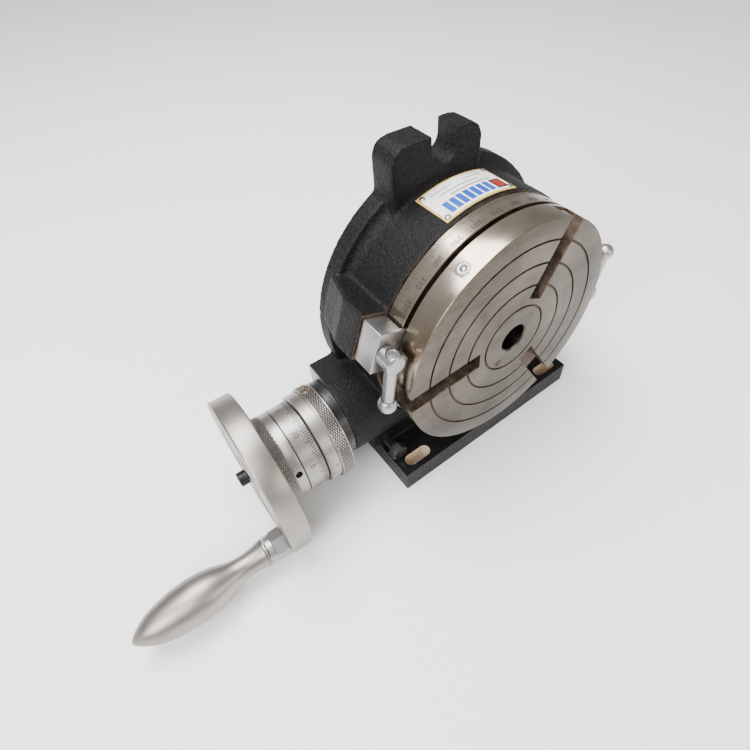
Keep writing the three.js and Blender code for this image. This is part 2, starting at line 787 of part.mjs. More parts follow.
function capScrewBody() {
  const head = crankEnd + GAP;
  const top = head + capScrew.headHeight;
  const body = solid(turned([
    [0, head - capScrew.length],
    [capScrew.radius, head - capScrew.length],
    [capScrew.radius, head],
    [capScrew.headRadius, head],
    [capScrew.headRadius, top - 0.4],
    [capScrew.headRadius - 0.4, top],
    [0, top],
  ], 24));
  const socket = [0, 1, 2, 3, 4, 5].map((i) => polar(4 / Math.sqrt(3), 60 * i));
  return cut(body, [solid(prism(socket, top - 2.8, top + 1))]);
}

function crankAssembly() {
  const handle = group(
    part("handle_bolt", handleBoltBody(), "plainSteel"),
    part("handle_grip", handleGrip(), "satinAluminium"),
  );
  handle.position.x = crankThrow;
  const arm = group(part("crank_arm", crankArm(), "satinAluminium"), handle);
  arm.rotation.z = rad(crankAngle);
  const key = part("crank_key", keyBlock(0, crankKey.low, crankKey.high), "plainSteel");
  return group(arm, key, part("crank_cap_screw", capScrewBody(), "blackSteel"));
}

function wormAssembly() {
  const rearBush = ring(rearJournalRadius + RUNNING, rearJournalRadius + 2.2 - 0.3, ...rearBushRange, 32);
  const frontBush = ring(shaftRadius + RUNNING, sleeveBoreRadius - GAP, ...frontBushRange);
  const sleeve = part("eccentric_sleeve", eccentricSleeve(), "blackSteel");
  const assembly = group(
    placed(sleeve, sleeveOffset.front, sleeveOffset.up),
    part("worm_rear_bush", rearBush, "bronze"),
    part("worm_front_bush", frontBush, "bronze"),
    part("vernier_collar", vernierCollar(), "satinAluminium"),
    radialScrew("vernier_screw", vernierScrew, "bronze"),
    part("worm_shaft", wormShaft(), "plainSteel"),
    part("dial_carrier", dialCarrier(), "plainSteel"),
    part("dial", dial(), "satinAluminium"),
    part("dial_lock_ring", lockRing(), "satinAluminium"),
    radialScrew("lock_ring_screw", lockScrew, "blackSteel"),
    crankAssembly(),
  );
  assembly.rotation.y = -Math.PI / 2;
  assembly.position.set(0, -centreDistance, -wormDepth);
  return assembly;
}

// ---------------------------------------------------------------- rim clamps
const clampFront = 15.5;
const clampBack = platenDepth - 0.1;
const lip = { inner: grooveFloorRadius + 2.3, front: rimDepth + 0.25, thickness: 1.9 };
const clampHead = { front: 4.5, rodDepth: 9 };

function clampBlock() {
  const inner = tableRadius + 1;
  const outline = [
    [lip.inner, -lip.front],
    [lip.inner, -lip.front - lip.thickness],
    [inner, -lip.front - lip.thickness - 0.5],
    [inner, -clampBack],
    [clampOuterRadius, -clampBack],
    [clampOuterRadius, -lip.front],
  ];
  const profile = solid(prism(outline, -clampWidth / 2, clampWidth / 2).rotateX(Math.PI / 2));
  const hole = disc(clampScrewRadius + RUNNING, -40, 0, 24).translate([clampStudRadius, 0, 0]);
  return cut(profile, [hole]);
}

// The screw, its rod and ball, on the stud's axis with the rod along +x.
function clampLever(side) {
  const headBack = clampFront - 0.3;
  const head = disc(clampHeadRadius, -headBack, -clampHead.front, 32);
  const stud = disc(clampScrewRadius, -clampStudEnd, -headBack + 1, 24);
  const reach = (radius, from, to) => {
    const body = disc(radius, from, to, 20).rotate([0, 90, 0]);
    return body.translate([0, 0, -clampHead.rodDepth]);
  };
  const rodStart = -clampHeadRadius + 0.4;
  const rodEnd = clampLeverLength - 1.5;
  const ball = solid(new THREE.SphereGeometry(clampBallRadius, 18, 12))
    .translate([clampLeverLength, 0, -clampHead.rodDepth]);
  return group(
    part("clamp_screw_" + side, cut(head.add(stud), [reach(clampRodRadius + 0.3, -20, 20)]), "plainSteel"),
    part("clamp_rod_" + side, reach(clampRodRadius, rodStart, rodEnd), "plainSteel"),
    part("clamp_ball_" + side, cut(ball, [reach(clampRodRadius + 0.3, 0, rodEnd + 0.3)]), "plainSteel"),
  );
}

function clampAssembly(side) {
  const lever = clampLever(side);
  lever.position.x = clampStudRadius;
  lever.rotation.z = rad(clampLeverAngles[side]);
  const assembly = group(part("clamp_block_" + side, clampBlock(), "plainSteel"), lever);
  assembly.rotation.z = rad(clampAngles[side]);
  return assembly;
}

// ---------------------------------------------------------------- whole
const machine = group(
  baseAssembly(),
  tableAssembly(),
  wormAssembly(),
  clampAssembly("left"),
  clampAssembly("right"),
);
machine.rotation.x = Math.PI / 2;
machine.position.set(0, faceY, axisHeight);

export default group(machine);
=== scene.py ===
import json
import math

import bmesh
import bpy
from mathutils import Matrix, Vector, noise


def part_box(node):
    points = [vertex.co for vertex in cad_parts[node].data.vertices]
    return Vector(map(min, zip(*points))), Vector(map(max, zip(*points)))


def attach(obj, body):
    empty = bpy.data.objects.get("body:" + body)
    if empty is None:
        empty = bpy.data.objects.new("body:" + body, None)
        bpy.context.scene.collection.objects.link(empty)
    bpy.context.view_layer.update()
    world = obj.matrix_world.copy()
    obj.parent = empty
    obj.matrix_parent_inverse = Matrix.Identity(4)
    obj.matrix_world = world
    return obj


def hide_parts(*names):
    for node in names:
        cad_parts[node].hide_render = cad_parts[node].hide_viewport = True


# The looks of a horizontal and vertical rotary table, built round its CAD frame.
# Meshes are made in millimetres in local frames, then placed in metres:
#   MACHINE  on the table's axis at its face: x right, y up, z out of the face
#   WORM     on the worm's axis: x to the front, y up, z out along the shaft to the crank
#   SLEEVE   on the sleeve's axis, turned as WORM is

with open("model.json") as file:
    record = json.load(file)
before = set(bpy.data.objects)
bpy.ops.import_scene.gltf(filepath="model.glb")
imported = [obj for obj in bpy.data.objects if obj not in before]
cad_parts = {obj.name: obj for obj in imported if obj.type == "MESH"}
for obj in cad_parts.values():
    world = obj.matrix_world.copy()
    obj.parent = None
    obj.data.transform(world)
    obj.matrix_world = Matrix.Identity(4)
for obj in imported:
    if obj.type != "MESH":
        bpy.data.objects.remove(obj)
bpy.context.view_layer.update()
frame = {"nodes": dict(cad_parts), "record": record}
scene = bpy.context.scene

# ---- places from the frame
MM = 0.001


def middle(node):
    low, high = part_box(node)
    return (low + high) / 2


def extent(node, axis):
    low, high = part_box(node)
    return (high[axis] - low[axis]) / MM


X, Y, Z = 0, 1, 2
face_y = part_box("table_platen")[0].y
axis_z = middle("table_platen").z
worm_y, worm_z = middle("dial")[Y], middle("dial")[Z]
sleeve_y, sleeve_z = middle("eccentric_sleeve")[Y], middle("eccentric_sleeve")[Z]

UPRIGHT = Matrix.Rotation(math.radians(90), 4, "X")
MILLIMETRES = Matrix.Scale(MM, 4)
MACHINE = Matrix.Translation((0, face_y, axis_z)) @ UPRIGHT @ MILLIMETRES
ALONG_WORM = UPRIGHT @ Matrix.Rotation(math.radians(-90), 4, "Y") @ MILLIMETRES
WORM = Matrix.Translation((0, worm_y, worm_z)) @ ALONG_WORM
SLEEVE = Matrix.Translation((0, sleeve_y, sleeve_z)) @ ALONG_WORM


def depth_of(y):
    """Depth behind the table's face, in mm, of a place at y in the part's frame."""
    return (y - face_y) / MM


def along(node):
    """Where a node starts and ends along the worm, in mm towards the crank."""
    low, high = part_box(node)
    return -high.x / MM, -low.x / MM


table_radius = extent("table_platen", X) / 2
base_depth = depth_of(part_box("base_casting")[1].y)
body_front = 30.3  # depth of the body's front face
body_radius = 76
foot_half = 76  # half the foot's length
foot_top = 17  # the foot's thickness
floor_y = -axis_z / MM  # the foot's underside in the machine frame


# ---- mesh building
def turned(profile, steps=128):
    """A closed loop of (radius, z) points turned about z; a point at radius 0 is shared."""
    bm = bmesh.new()
    turns = [2 * math.pi * k / steps for k in range(steps)]
    rings = []
    for r, z in profile:
        if r == 0:
            rings.append([bm.verts.new((0, 0, z))] * steps)
        else:
            rings.append([bm.verts.new((r * math.cos(a), r * math.sin(a), z)) for a in turns])
    for low, high in zip(rings, rings[1:] + rings[:1]):
        for k in range(steps):
            after = (k + 1) % steps
            corners = list(dict.fromkeys([low[k], low[after], high[after], high[k]]))
            if len(corners) > 2:
                bm.faces.new(corners)
    return bm


def disc(radius, z0, z1, steps=96):
    return turned([(0, z0), (radius, z0), (radius, z1), (0, z1)], steps)


def prism(outline, z0, z1):
    bm = bmesh.new()
    low = [bm.verts.new((x, y, z0)) for x, y in outline]
    high = [bm.verts.new((x, y, z1)) for x, y in outline]
    bm.faces.new(low[::-1])
    bm.faces.new(high)
    for k in range(len(low)):
        after = (k + 1) % len(low)
        bm.faces.new((low[k], low[after], high[after], high[k]))
    return bm


def block(low, high):
    (x0, y0, z0), (x1, y1, z1) = low, high
    return prism([(x0, y0), (x1, y0), (x1, y1), (x0, y1)], z0, z1)


def arc(cx, cy, radius, start, end, steps=16):
    turns = [math.radians(start + (end - start) * k / steps) for k in range(steps + 1)]
    return [(cx + radius * math.cos(a), cy + radius * math.sin(a)) for a in turns]


def polygon(sides, flats, turn=0):
    corner = flats / 2 / math.cos(math.pi / sides)
    return arc(0, 0, corner, turn, turn + 360 * (sides - 1) / sides, sides - 1)


def moved(bm, *matrices):
    for matrix in matrices:
        bm.transform(matrix)
    return bm


def shift(x, y, z):
    return Matrix.Translation((x, y, z))


def spin(degrees, axis):
    return Matrix.Rotation(math.radians(degrees), 4, axis)


def gathered(pieces):
    """Several meshes in one, without joining their surfaces."""
    whole = bmesh.new()
    for bm in pieces:
        part = bpy.data.meshes.new("part")
        bm.to_mesh(part)
        bm.free()
        whole.from_mesh(part)
        bpy.data.meshes.remove(part)
    return whole


def as_object(bm, name="working"):
    bmesh.ops.recalc_face_normals(bm, faces=bm.faces)
    mesh = bpy.data.meshes.new(name)
    bm.to_mesh(mesh)
    bm.free()
    made = bpy.data.objects.new(name, mesh)
    scene.collection.objects.link(made)
    return made


def apply_modifiers(made):
    graph = bpy.context.evaluated_depsgraph_get()
    mesh = bpy.data.meshes.new_from_object(made.evaluated_get(graph))
    made.modifiers.clear()
    made.data = mesh


def combine(made, others, operation):
    tools = [as_object(bm) for bm in others]
    for tool in tools:
        step = made.modifiers.new("combine", "BOOLEAN")
        step.operation = operation
        step.solver = "MANIFOLD"
        step.object = tool
    apply_modifiers(made)
    for tool in tools:
        bpy.data.objects.remove(tool)


def bevel(made, width, segments):
    step = made.modifiers.new("edge", "BEVEL")
    step.width = width
    step.segments = segments
    step.limit_method = "ANGLE"
    step.angle_limit = math.radians(35)
    apply_modifiers(made)


def place(made, name, matrix, finishes, body, stands_for=(), sharp=32):
    """Puts a mesh in the part's frame with its finishes, riding on its body."""
    mesh = made.data
    mesh.transform(matrix)
    chosen = [face.material_index for face in mesh.polygons]
    mesh.materials.clear()
    for finish in finishes:
        mesh.materials.append(finish)
    mesh.polygons.foreach_set("material_index", chosen)
    mesh.shade_smooth()
    mesh.set_sharp_from_angle(angle=math.radians(sharp))
    made.name = name
    mesh.name = name
    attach(made, body)
    if stands_for:
        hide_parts(*stands_for)


def stand_in(made, node, matrix, finishes, body, sharp=32):
    """Places a mesh that is shown instead of one CAD node."""
    place(made, node + "_detail", matrix, finishes, body, [node], sharp)


def set_faces(made, index, test):
    """Gives the faces that a test picks, by their middle and direction, another material."""
    for face in made.data.polygons:
        if test(face.center, face.normal):
            face.material_index = index


# ---- materials
class Finish:
    """A node material on one Principled shader, with object coordinates to build on."""

    def __init__(self, name, metallic):
        self.material = bpy.data.materials.new(name)
        self.material.use_nodes = True
        self.tree = self.material.node_tree
        self.shader = self.tree.nodes["Principled BSDF"]
        self.shader.inputs["Metallic"].default_value = metallic
        self.place = self.tree.nodes.new("ShaderNodeTexCoord").outputs["Object"]

    def link(self, source, target):
        self.tree.links.new(source, target)

    def node(self, kind, inputs):
        """A new node with its inputs set by name: each to a value, or linked from a socket."""
        made = self.tree.nodes.new("ShaderNode" + kind)
        for name, value in inputs.items():
            if isinstance(value, bpy.types.NodeSocket):
                self.link(value, made.inputs[name])
            else:
                made.inputs[name].default_value = value
        return made

    def stretched(self, scale, turn=(0, 0, 0)):
        inputs = {"Scale": scale, "Rotation": [math.radians(a) for a in turn], "Vector": self.place}
        return self.node("Mapping", inputs).outputs["Vector"]

    def noise(self, vector, scale, detail=4, roughness=0.5):
        inputs = {"Scale": scale, "Detail": detail, "Roughness": roughness, "Vector": vector}
        return self.node("TexNoise", inputs).outputs["Fac"]

    def cells(self, vector, scale):
        node = self.node("TexVoronoi", {"Vector": vector, "Scale": scale})
        node.feature = "SMOOTH_F1"
        return node.outputs["Distance"]

    def ramp(self, value, stops):
        node = self.tree.nodes.new("ShaderNodeValToRGB")
        ramp = node.color_ramp
        while len(ramp.elements) < len(stops):
            ramp.elements.new(0.5)
        for element, (position, colour) in zip(ramp.elements, stops):
            element.position = position
            element.color = (*colour, 1)
        self.link(value, node.inputs["Fac"])
        return node.outputs["Color"]

    def ranged(self, value, low, high, start=0.3, end=0.7):
        inputs = {"From Min": start, "From Max": end, "To Min": low, "To Max": high, "Value": value}
        return self.node("MapRange", inputs).outputs["Result"]

    def mixed(self, factor, first, second):
        node = self.tree.nodes.new("ShaderNodeMix")
        node.data_type = "RGBA"
        factor_socket, first_socket, second_socket = (node.inputs[k] for k in (0, 6, 7))
        for value, socket in ((factor, factor_socket), (first, first_socket), (second, second_socket)):
            if isinstance(value, (int, float)):
                socket.default_value = value
            elif isinstance(value, tuple):
                socket.default_value = (*value, 1)
            else:
                self.link(value, socket)
        return node.outputs[2]

    def bump(self, height, distance, strength):
        node = self.node("Bump", {"Strength": strength, "Distance": distance, "Height": height})
        previous = self.shader.inputs["Normal"]
        if previous.is_linked:
            self.link(previous.links[0].from_socket, node.inputs["Normal"])
        self.link(node.outputs["Normal"], previous)

    def colour(self, value):
        self.link(value, self.shader.inputs["Base Color"])

    def dull(self, level):
        self.shader.inputs["Specular IOR Level"].default_value = level

    def roughness(self, value):
        self.link(value, self.shader.inputs["Roughness"])

    def radius(self, centre, across):
        """Distance from an axis through the centre, in metres; across has a 0 along the axis."""
        offset = [-c * a for c, a in zip(centre, across)]
        inputs = {"Location": offset, "Scale": across, "Vector": self.place}
        length = self.tree.nodes.new("ShaderNodeVectorMath")
        length.operation = "LENGTH"
        self.link(self.node("Mapping", inputs).outputs["Vector"], length.inputs[0])
        return length.outputs["Value"]

    def rings(self, scale):
        """A coordinate that only changes with distance from the table's axis."""
        times = self.tree.nodes.new("ShaderNodeMath")
        times.operation = "MULTIPLY"
        times.inputs[1].default_value = scale
        self.link(self.radius((0, 0, axis_z), (1, 0, 1)), times.inputs[0])
        return self.node("CombineXYZ", {"X": times.outputs[0]}).outputs["Vector"]


def wrinkle_paint():
    """Black wrinkle paint: small soft lumps with a painted highlight that makes their tops greyer, and duller
    patches.
    """
    made = Finish("wrinkle_paint", 0)
    lumps = made.cells(made.place, 1150)
    fine = made.noise(made.place, 2400, 3)
    patches = made.noise(made.place, 28, 3)
    # painted highlight: the middle of each lump, its top, is coloured greyer than its edges
    highlit_lump_tops = made.ramp(lumps, [(0.1, (0.016, 0.016, 0.0175)), (0.5, (0.002, 0.002, 0.0024))])
    made.colour(made.mixed(made.ranged(patches, 0, 0.5), highlit_lump_tops, (0.005, 0.0048, 0.005)))
    made.dull(0.16)
    made.roughness(made.ranged(fine, 0.42, 0.68))
    made.bump(made.ranged(lumps, 1, 0, 0, 0.8), 0.00035, 0.9)
    made.bump(fine, 0.0001, 0.5)
    return made.material


def smooth_paint():
    """The thinner black on the foot, with a few scuffs."""
    made = Finish("smooth_paint", 0)
    grain = made.noise(made.place, 900, 4)
    scuffs = made.noise(made.stretched((60, 20, 140)), 3, 5)
    shade = made.ramp(grain, [(0.35, (0.003, 0.003, 0.0035)), (0.7, (0.009, 0.0085, 0.009))])
    made.colour(made.mixed(made.ranged(scuffs, 0, 0.6, 0.62, 0.72), shade, (0.035, 0.03, 0.026)))
    made.dull(0.15)
    made.roughness(made.ranged(grain, 0.36, 0.6))
    made.bump(grain, 0.00025, 0.6)
    return made.material


def ground_iron():
    """The table's face: ground grey-brown iron, with fine rings and long faint scratches."""
    made = Finish("ground_iron", 1)
    stains = made.noise(made.place, 22, 5, 0.6)
    rings = made.noise(made.rings(1600), 1, 3, 0.7)
    scratches = made.noise(made.stretched((30, 1, 900), (0, 35, 0)), 1, 3, 0.6)
    crossing = made.noise(made.stretched((20, 1, 1300), (0, -62, 0)), 1, 2, 0.5)
    browns = [(0.32, (0.042, 0.034, 0.026)), (0.5, (0.088, 0.074, 0.058)), (0.7, (0.15, 0.13, 0.108))]
    base = made.ramp(stains, browns)
    lined = made.mixed(made.ranged(scratches, 0, 0.26, 0.5, 0.75), base, (0.27, 0.24, 0.205))
    made.colour(made.mixed(made.ranged(crossing, 0, 0.3, 0.55, 0.75), lined, (0.022, 0.017, 0.013)))
    made.roughness(made.ranged(rings, 0.26, 0.42))
    made.bump(rings, 0.00002, 0.5)
    made.bump(scratches, 0.00003, 0.6)
    return made.material


def polished_rim():
    """The rim and graduated band: bright turned iron, warmer in its duller patches."""
    made = Finish("polished_rim", 1)
    lines = made.noise(made.stretched((1, 5200, 1)), 1, 3, 0.6)
    patches = made.noise(made.place, 35, 4)
    made.colour(made.ramp(patches, [(0.3, (0.27, 0.21, 0.155)), (0.65, (0.46, 0.4, 0.33))]))
    made.roughness(made.ranged(lines, 0.14, 0.26))
    made.bump(lines, 0.00001, 0.5)
    return made.material


def mottled(name, metallic, scale, grit, stops, rough, depth):
    """A stained or grainy surface: one noise gives its colours, its gloss and its relief."""
    made = Finish(name, metallic)
    stains = made.noise(made.place, scale, 5, grit)
    made.colour(made.ramp(stains, stops))
    made.roughness(made.ranged(stains, *rough))
    made.bump(stains, depth, 0.5)
    return made.material


def groove_stain():
    """Darker brown iron on the walls of the rings, the slots and the clamp groove."""
    browns = [(0.35, (0.03, 0.018, 0.012)), (0.6, (0.075, 0.045, 0.03)), (0.8, (0.14, 0.1, 0.075))]
    return mottled("groove_stain", 0.8, 190, 0.65, browns, (0.4, 0.65), 0.00004)


def bare_iron():
    """Machined iron on the casting, stained brown."""
    browns = [(0.35, (0.085, 0.055, 0.038)), (0.6, (0.17, 0.13, 0.1)), (0.8, (0.27, 0.24, 0.205))]
    return mottled("bare_iron", 0.85, 160, 0.65, browns, (0.4, 0.65), 0.00005)


def tan_primer():
    """Tan primer left bare inside the foot's slots."""
    tans = [(0.35, (0.46, 0.34, 0.24)), (0.65, (0.7, 0.56, 0.43))]
    return mottled("tan_primer", 0, 420, 0.6, tans, (0.5, 0.7), 0.0001)


def milled_iron():
    """The housing's end and the base's ground faces: pale milled iron."""
    made = Finish("milled_iron", 0.9)
    cuts = made.noise(made.stretched((200, 900, 60)), 1, 3, 0.6)
    stains = made.noise(made.place, 60, 4)
    shade = made.ramp(stains, [(0.3, (0.26, 0.24, 0.215)), (0.7, (0.4, 0.385, 0.36))])
    made.colour(made.mixed(made.ranged(cuts, 0, 0.4), shade, (0.36, 0.33, 0.3)))
    made.roughness(made.ranged(cuts, 0.34, 0.52))
    made.bump(cuts, 0.00003, 0.6)
    return made.material


def satin_metal(name, dark, light, lines_along, rough=(0.3, 0.42)):
    """Satin metal with fine tool lines across one direction and slight clouding."""
    made = Finish(name, 1)
    lines = made.noise(made.stretched(lines_along), 1, 3, 0.6)
    clouds = made.noise(made.place, 45, 4)
    grain = made.noise(made.place, 2600, 2)
    shade = made.ramp(clouds, [(0.3, dark), (0.7, light)])
    made.colour(made.mixed(made.ranged(lines, 0, 0.12), shade, dark))
    made.roughness(made.ranged(grain, *rough))
    made.bump(lines, 0.000012, 0.6)
    made.bump(grain, 0.00001, 0.4)
    return made.material


def knurled_metal():
    """Satin knurling: bright points over valleys darkened with painted shade."""
    made = Finish("knurled_metal", 1)
    on_ring, on_collar = (0.02665, 0.02718), (0.02985, 0.03028)  # radii of valleys and points, in m
    between = (0.0285, 0.029)
    out = made.radius((0, worm_y, worm_z), (0, 1, 1))
    grain = made.noise(made.place, 1800, 2)
    ring_height, collar_height = made.ranged(out, 0, 1, *on_ring), made.ranged(out, 0, 1, *on_collar)
    height = made.mixed(made.ranged(out, 0, 1, *between), ring_height, collar_height)
    worn = made.ramp(grain, [(0.3, (0.34, 0.325, 0.305)), (0.7, (0.46, 0.44, 0.42))])
    # painted shade: the colour turns dark towards the valleys, by distance from the worm's axis
    made.colour(made.mixed(height, (0.11, 0.1, 0.092), worn))
    made.roughness(made.ranged(grain, 0.32, 0.48))
    return made.material


def black_steel():
    """Blackened steel, worn grey in places, with fine tool lines."""
    made = Finish("black_steel", 0.7)
    lines = made.noise(made.stretched((3000, 60, 60)), 1, 3)
    wear = made.noise(made.place, 120, 4)
    made.colour(made.ramp(wear, [(0.4, (0.02, 0.02, 0.022)), (0.75, (0.07, 0.068, 0.066))]))
    made.roughness(made.ranged(lines, 0.25, 0.42))
    made.bump(lines, 0.00001, 0.5)
    return made.material


def bronze():
    made = Finish("bronze", 1)
    stains = made.noise(made.place, 260, 4)
    made.colour(made.ramp(stains, [(0.35, (0.36, 0.2, 0.1)), (0.7, (0.62, 0.4, 0.22))]))
    made.roughness(made.ranged(stains, 0.28, 0.5))
    made.bump(made.noise(made.place, 1800, 2), 0.00002, 0.5)
    return made.material


def ink(name, colour):
    """Paint in an engraved line, thin in places."""
    made = Finish(name, 0)
    worn = made.noise(made.place, 1500, 3)
    thin = tuple(min(1, 1.6 * c + 0.02) for c in colour)
    made.colour(made.ramp(worn, [(0.55, colour), (0.8, thin)]))
    made.roughness(made.ranged(worn, 0.5, 0.75))
    return made.material


def printed(name, colour, rough):
    """A printed field on the nameplate, a little soiled."""
    made = Finish(name, 0.1)
    soil = made.noise(made.place, 240, 5)
    soiled = tuple(0.78 * c for c in colour)
    made.colour(made.ramp(soil, [(0.3, soiled), (0.55, colour)]))
    made.roughness(made.ranged(soil, rough + 0.12, rough))
    made.bump(soil, 0.00002, 0.4)
    return made.material


def floor_paper():
    made = Finish("floor_paper", 0)
    made.shader.inputs["Roughness"].default_value = 0.7
    tone = made.noise(made.place, 3, 3)
    made.colour(made.ramp(tone, [(0.3, (0.93, 0.93, 0.93)), (0.7, (0.96, 0.96, 0.96))]))
    return made.material


WRINKLE = wrinkle_paint()
SMOOTH_BLACK = smooth_paint()
GROUND = ground_iron()
RIM = polished_rim()
GROOVE = groove_stain()
BARE = bare_iron()
PRIMER = tan_primer()
MILLED = milled_iron()
SATIN = satin_metal("satin_chrome", (0.27, 0.256, 0.24), (0.385, 0.366, 0.345), (4200, 60, 60))
ALLOY = satin_metal("satin_alloy", (0.24, 0.222, 0.203), (0.35, 0.325, 0.3), (2600, 90, 90), (0.34, 0.46))
STEEL = satin_metal("turned_steel", (0.3, 0.3, 0.302), (0.43, 0.43, 0.432), (90, 2600, 90))
KNURLED = knurled_metal()
BLACKENED = black_steel()
BRONZE = bronze()
INK = ink("engraving_ink", (0.008, 0.007, 0.006))
BAND_INK = ink("band_ink", (0.01, 0.006, 0.004))
GOLD = printed("plate_border", (0.6, 0.42, 0.1), 0.35)
WHITE = printed("plate_field", (0.85, 0.85, 0.83), 0.4)
BLUE = printed("plate_blue", (0.004, 0.07, 0.42), 0.4)
RED = printed("plate_red", (0.3, 0.012, 0.008), 0.4)
GREY = printed("plate_grey", (0.12, 0.12, 0.13), 0.5)


# ---- marks on round surfaces
mark_depth, mark_height, numeral_height = 0.3, 0.03, 0.035


def tick(radius, angle, width, z0, z1):
    """A thin line along z on a cylinder, at an angle."""
    low, high = radius - mark_depth, radius + mark_height
    return moved(block((low, -width / 2, z0), (high, width / 2, z1)), spin(angle, "Z"))


def numeral(text, size):
    curve = bpy.data.curves.new("numeral", "FONT")
    curve.body = text
    curve.size = size
    curve.align_x = "CENTER"
    curve.align_y = "CENTER"
    shown = bpy.data.objects.new("numeral", curve)
    scene.collection.objects.link(shown)
    graph = bpy.context.evaluated_depsgraph_get()
    flat = bpy.data.meshes.new_from_object(shown.evaluated_get(graph))
    bm = bmesh.new()
    bm.from_mesh(flat)
    bpy.data.objects.remove(shown)
    return bm


def wrapped(text, size, radius, angle, z, up):
    """A numeral on a cylinder, with its top towards +z where up is 1 and towards -z where it is -1."""
    bm = numeral(text, size)
    reach = radius + numeral_height
    for vert in bm.verts:
        turn = math.radians(angle) + up * vert.co.x / radius
        vert.co = (reach * math.cos(turn), reach * math.sin(turn), z + up * vert.co.y)
    return bm


def knurl(radius, z0, z1, pitch, depth=0.5):
    """A band of small four-sided points, round a cylinder."""
    bm = bmesh.new()
    around = 2 * round(math.pi * radius / pitch)
    rows = max(3, round(2 * (z1 - z0) / pitch))
    rings = []
    for row in range(rows + 1):
        z = z0 + (z1 - z0) * row / rows
        ring = []
        for k in range(around):
            raised = (row + k) % 2 == 0 and 0 < row < rows
            r = radius if raised else radius - depth
            a = 2 * math.pi * k / around
            ring.append(bm.verts.new((r * math.cos(a), r * math.sin(a), z)))
        rings.append(ring)
    for row, (low, high) in enumerate(zip(rings, rings[1:])):
        for k in range(around):
            after = (k + 1) % around
            if (row + k) % 2 == 0:
                bm.faces.new((low[k], low[after], high[k]))
                bm.faces.new((low[after], high[after], high[k]))
            else:
                bm.faces.new((low[k], low[after], high[after]))
                bm.faces.new((low[k], high[after], high[k]))
    return bm


# ---- table
rim_depth = 15.1
band_start, band_end = 17.9, 29.7
groove_floor = 70
ring_radii = (22.3, 35.9, 49.2, 62.5)
ring_section = ((0.7, 0), (0.58, -0.12), (0.55, -0.8))  # half width and height, from mouth to floor
spindle_steps = ((17, -73.5, -66.8), (20, -66.8, -55), (30, -55, -42.7), (38, -42.7, -band_end))
bore_mouth, bore_end = [(9.7, 0), (8.9, -0.8)], (7.1, -73.5)
slot_angles = (182.8, 302.8, 62.8)
slot_start, slot_end = 26.5, 82  # distances from the axis
oilers = {"rim": (120.3, 7.5, 3.6), "face": (235, 18.3, 2.4)}  # angle, depth or distance out, radius
oiler_room = 0.15


def platen_profile():
    wall, edge = table_radius, 0.4
    outline = [bore_end]
    for radius, back, front in spindle_steps:
        outline += [(radius, back), (radius, front)]
    outline += [(wall - edge, -band_end), (wall, -band_end + edge)]
    outline += [(wall, -band_start - edge), (wall - edge, -band_start), (groove_floor, -band_start)]
    outline += [(groove_floor, -rim_depth), (wall - edge, -rim_depth), (wall, -rim_depth + edge)]
    outline += [(wall, -0.6), (wall - 0.15, -0.15), (wall - 0.6, 0)]
    for r in reversed(ring_radii):
        outline += [(r + half, z) for half, z in ring_section]
        outline += [(r - half, z) for half, z in reversed(ring_section)]
    return outline + bore_mouth


def t_slot(angle):
    half, head = 5.45, 8.5
    mouth = half + 0.4
    neck, floor, above = -6.5, -12.5, 2
    outline = [(-head, floor), (head, floor), (head, neck), (half, neck), (half, -0.35), (mouth, 0.05)]
    outline += [(mouth, above), (-mouth, above), (-mouth, 0.05), (-half, -0.35), (-half, neck), (-head, neck)]
    bm = prism(outline, slot_start, slot_end)
    stand = Matrix(((0, 0, 1, 0), (1, 0, 0, 0), (0, 1, 0, 0), (0, 0, 0, 1)))
    return moved(bm, stand, spin(angle, "Z"))


def rim_place(angle, depth):
    """From a flat place to one on the rim, facing outwards."""
    return spin(angle, "Z") @ shift(table_radius, 0, -depth) @ spin(90, "Y")


def face_place(angle, radius):
    return spin(angle, "Z") @ shift(radius, 0, 0)


def table_platen():
    made = as_object(turned(platen_profile(), 288))
    angle, depth, radius = oilers["rim"]
    rim_seat = moved(disc(radius + oiler_room, -4.3, 2, 48), rim_place(angle, depth))
    angle, at, radius = oilers["face"]
    face_seat = moved(disc(radius + oiler_room, -3.3, 2, 48), face_place(angle, at))
    combine(made, [t_slot(a) for a in slot_angles] + [rim_seat, face_seat], "DIFFERENCE")

    inside_rim, below_face = table_radius - 0.5, -0.02

    def on_rim(centre, normal):
        return math.hypot(centre.x, centre.y) > inside_rim and centre.z < -0.1

    def in_slot(centre, normal):
        return centre.z < below_face and 9.5 < math.hypot(centre.x, centre.y) < inside_rim

    def in_groove(centre, normal):
        out = math.hypot(centre.x, centre.y)
        ring = any(abs(out - r) < 0.72 for r in ring_radii) and -0.85 < centre.z < below_face
        return ring or (out < inside_rim and -band_start - 0.1 < centre.z < -rim_depth + 0.1)

    set_faces(made, 1, on_rim)
    set_faces(made, 3, in_slot)
    set_faces(made, 2, in_groove)
    finishes = [GROUND, RIM, GROOVE, BARE]
    stand_in(made, "table_platen", MACHINE, finishes, "table")


def oiler(which, radius, length, matrix, finish):
    lip = radius - 0.5
    ball = radius * 0.42
    profile = [(0, -length), (radius, -length), (radius, -0.1), (radius - 0.2, 0.12), (lip, 0.2)]
    profile += [(ball + 0.35, 0.02), (ball + 0.1, -0.5), (ball, -0.2)]
    profile += [(ball * 0.75, 0.02), (ball * 0.4, 0.16)]
    made = as_object(turned(profile + [(0, 0.2)], 48))
    stand_in(made, which + "_oiler", MACHINE @ matrix, [finish], "table")


def table_oilers():
    angle, depth, radius = oilers["rim"]
    oiler("rim", radius, 4, rim_place(angle, depth), STEEL)
    angle, at, radius = oilers["face"]
    oiler("face", radius, 3, face_place(angle, at), GROUND)


band_zero = 183.5  # where the graduated band reads nothing, from the right-hand side
numeral_depth = 21.2


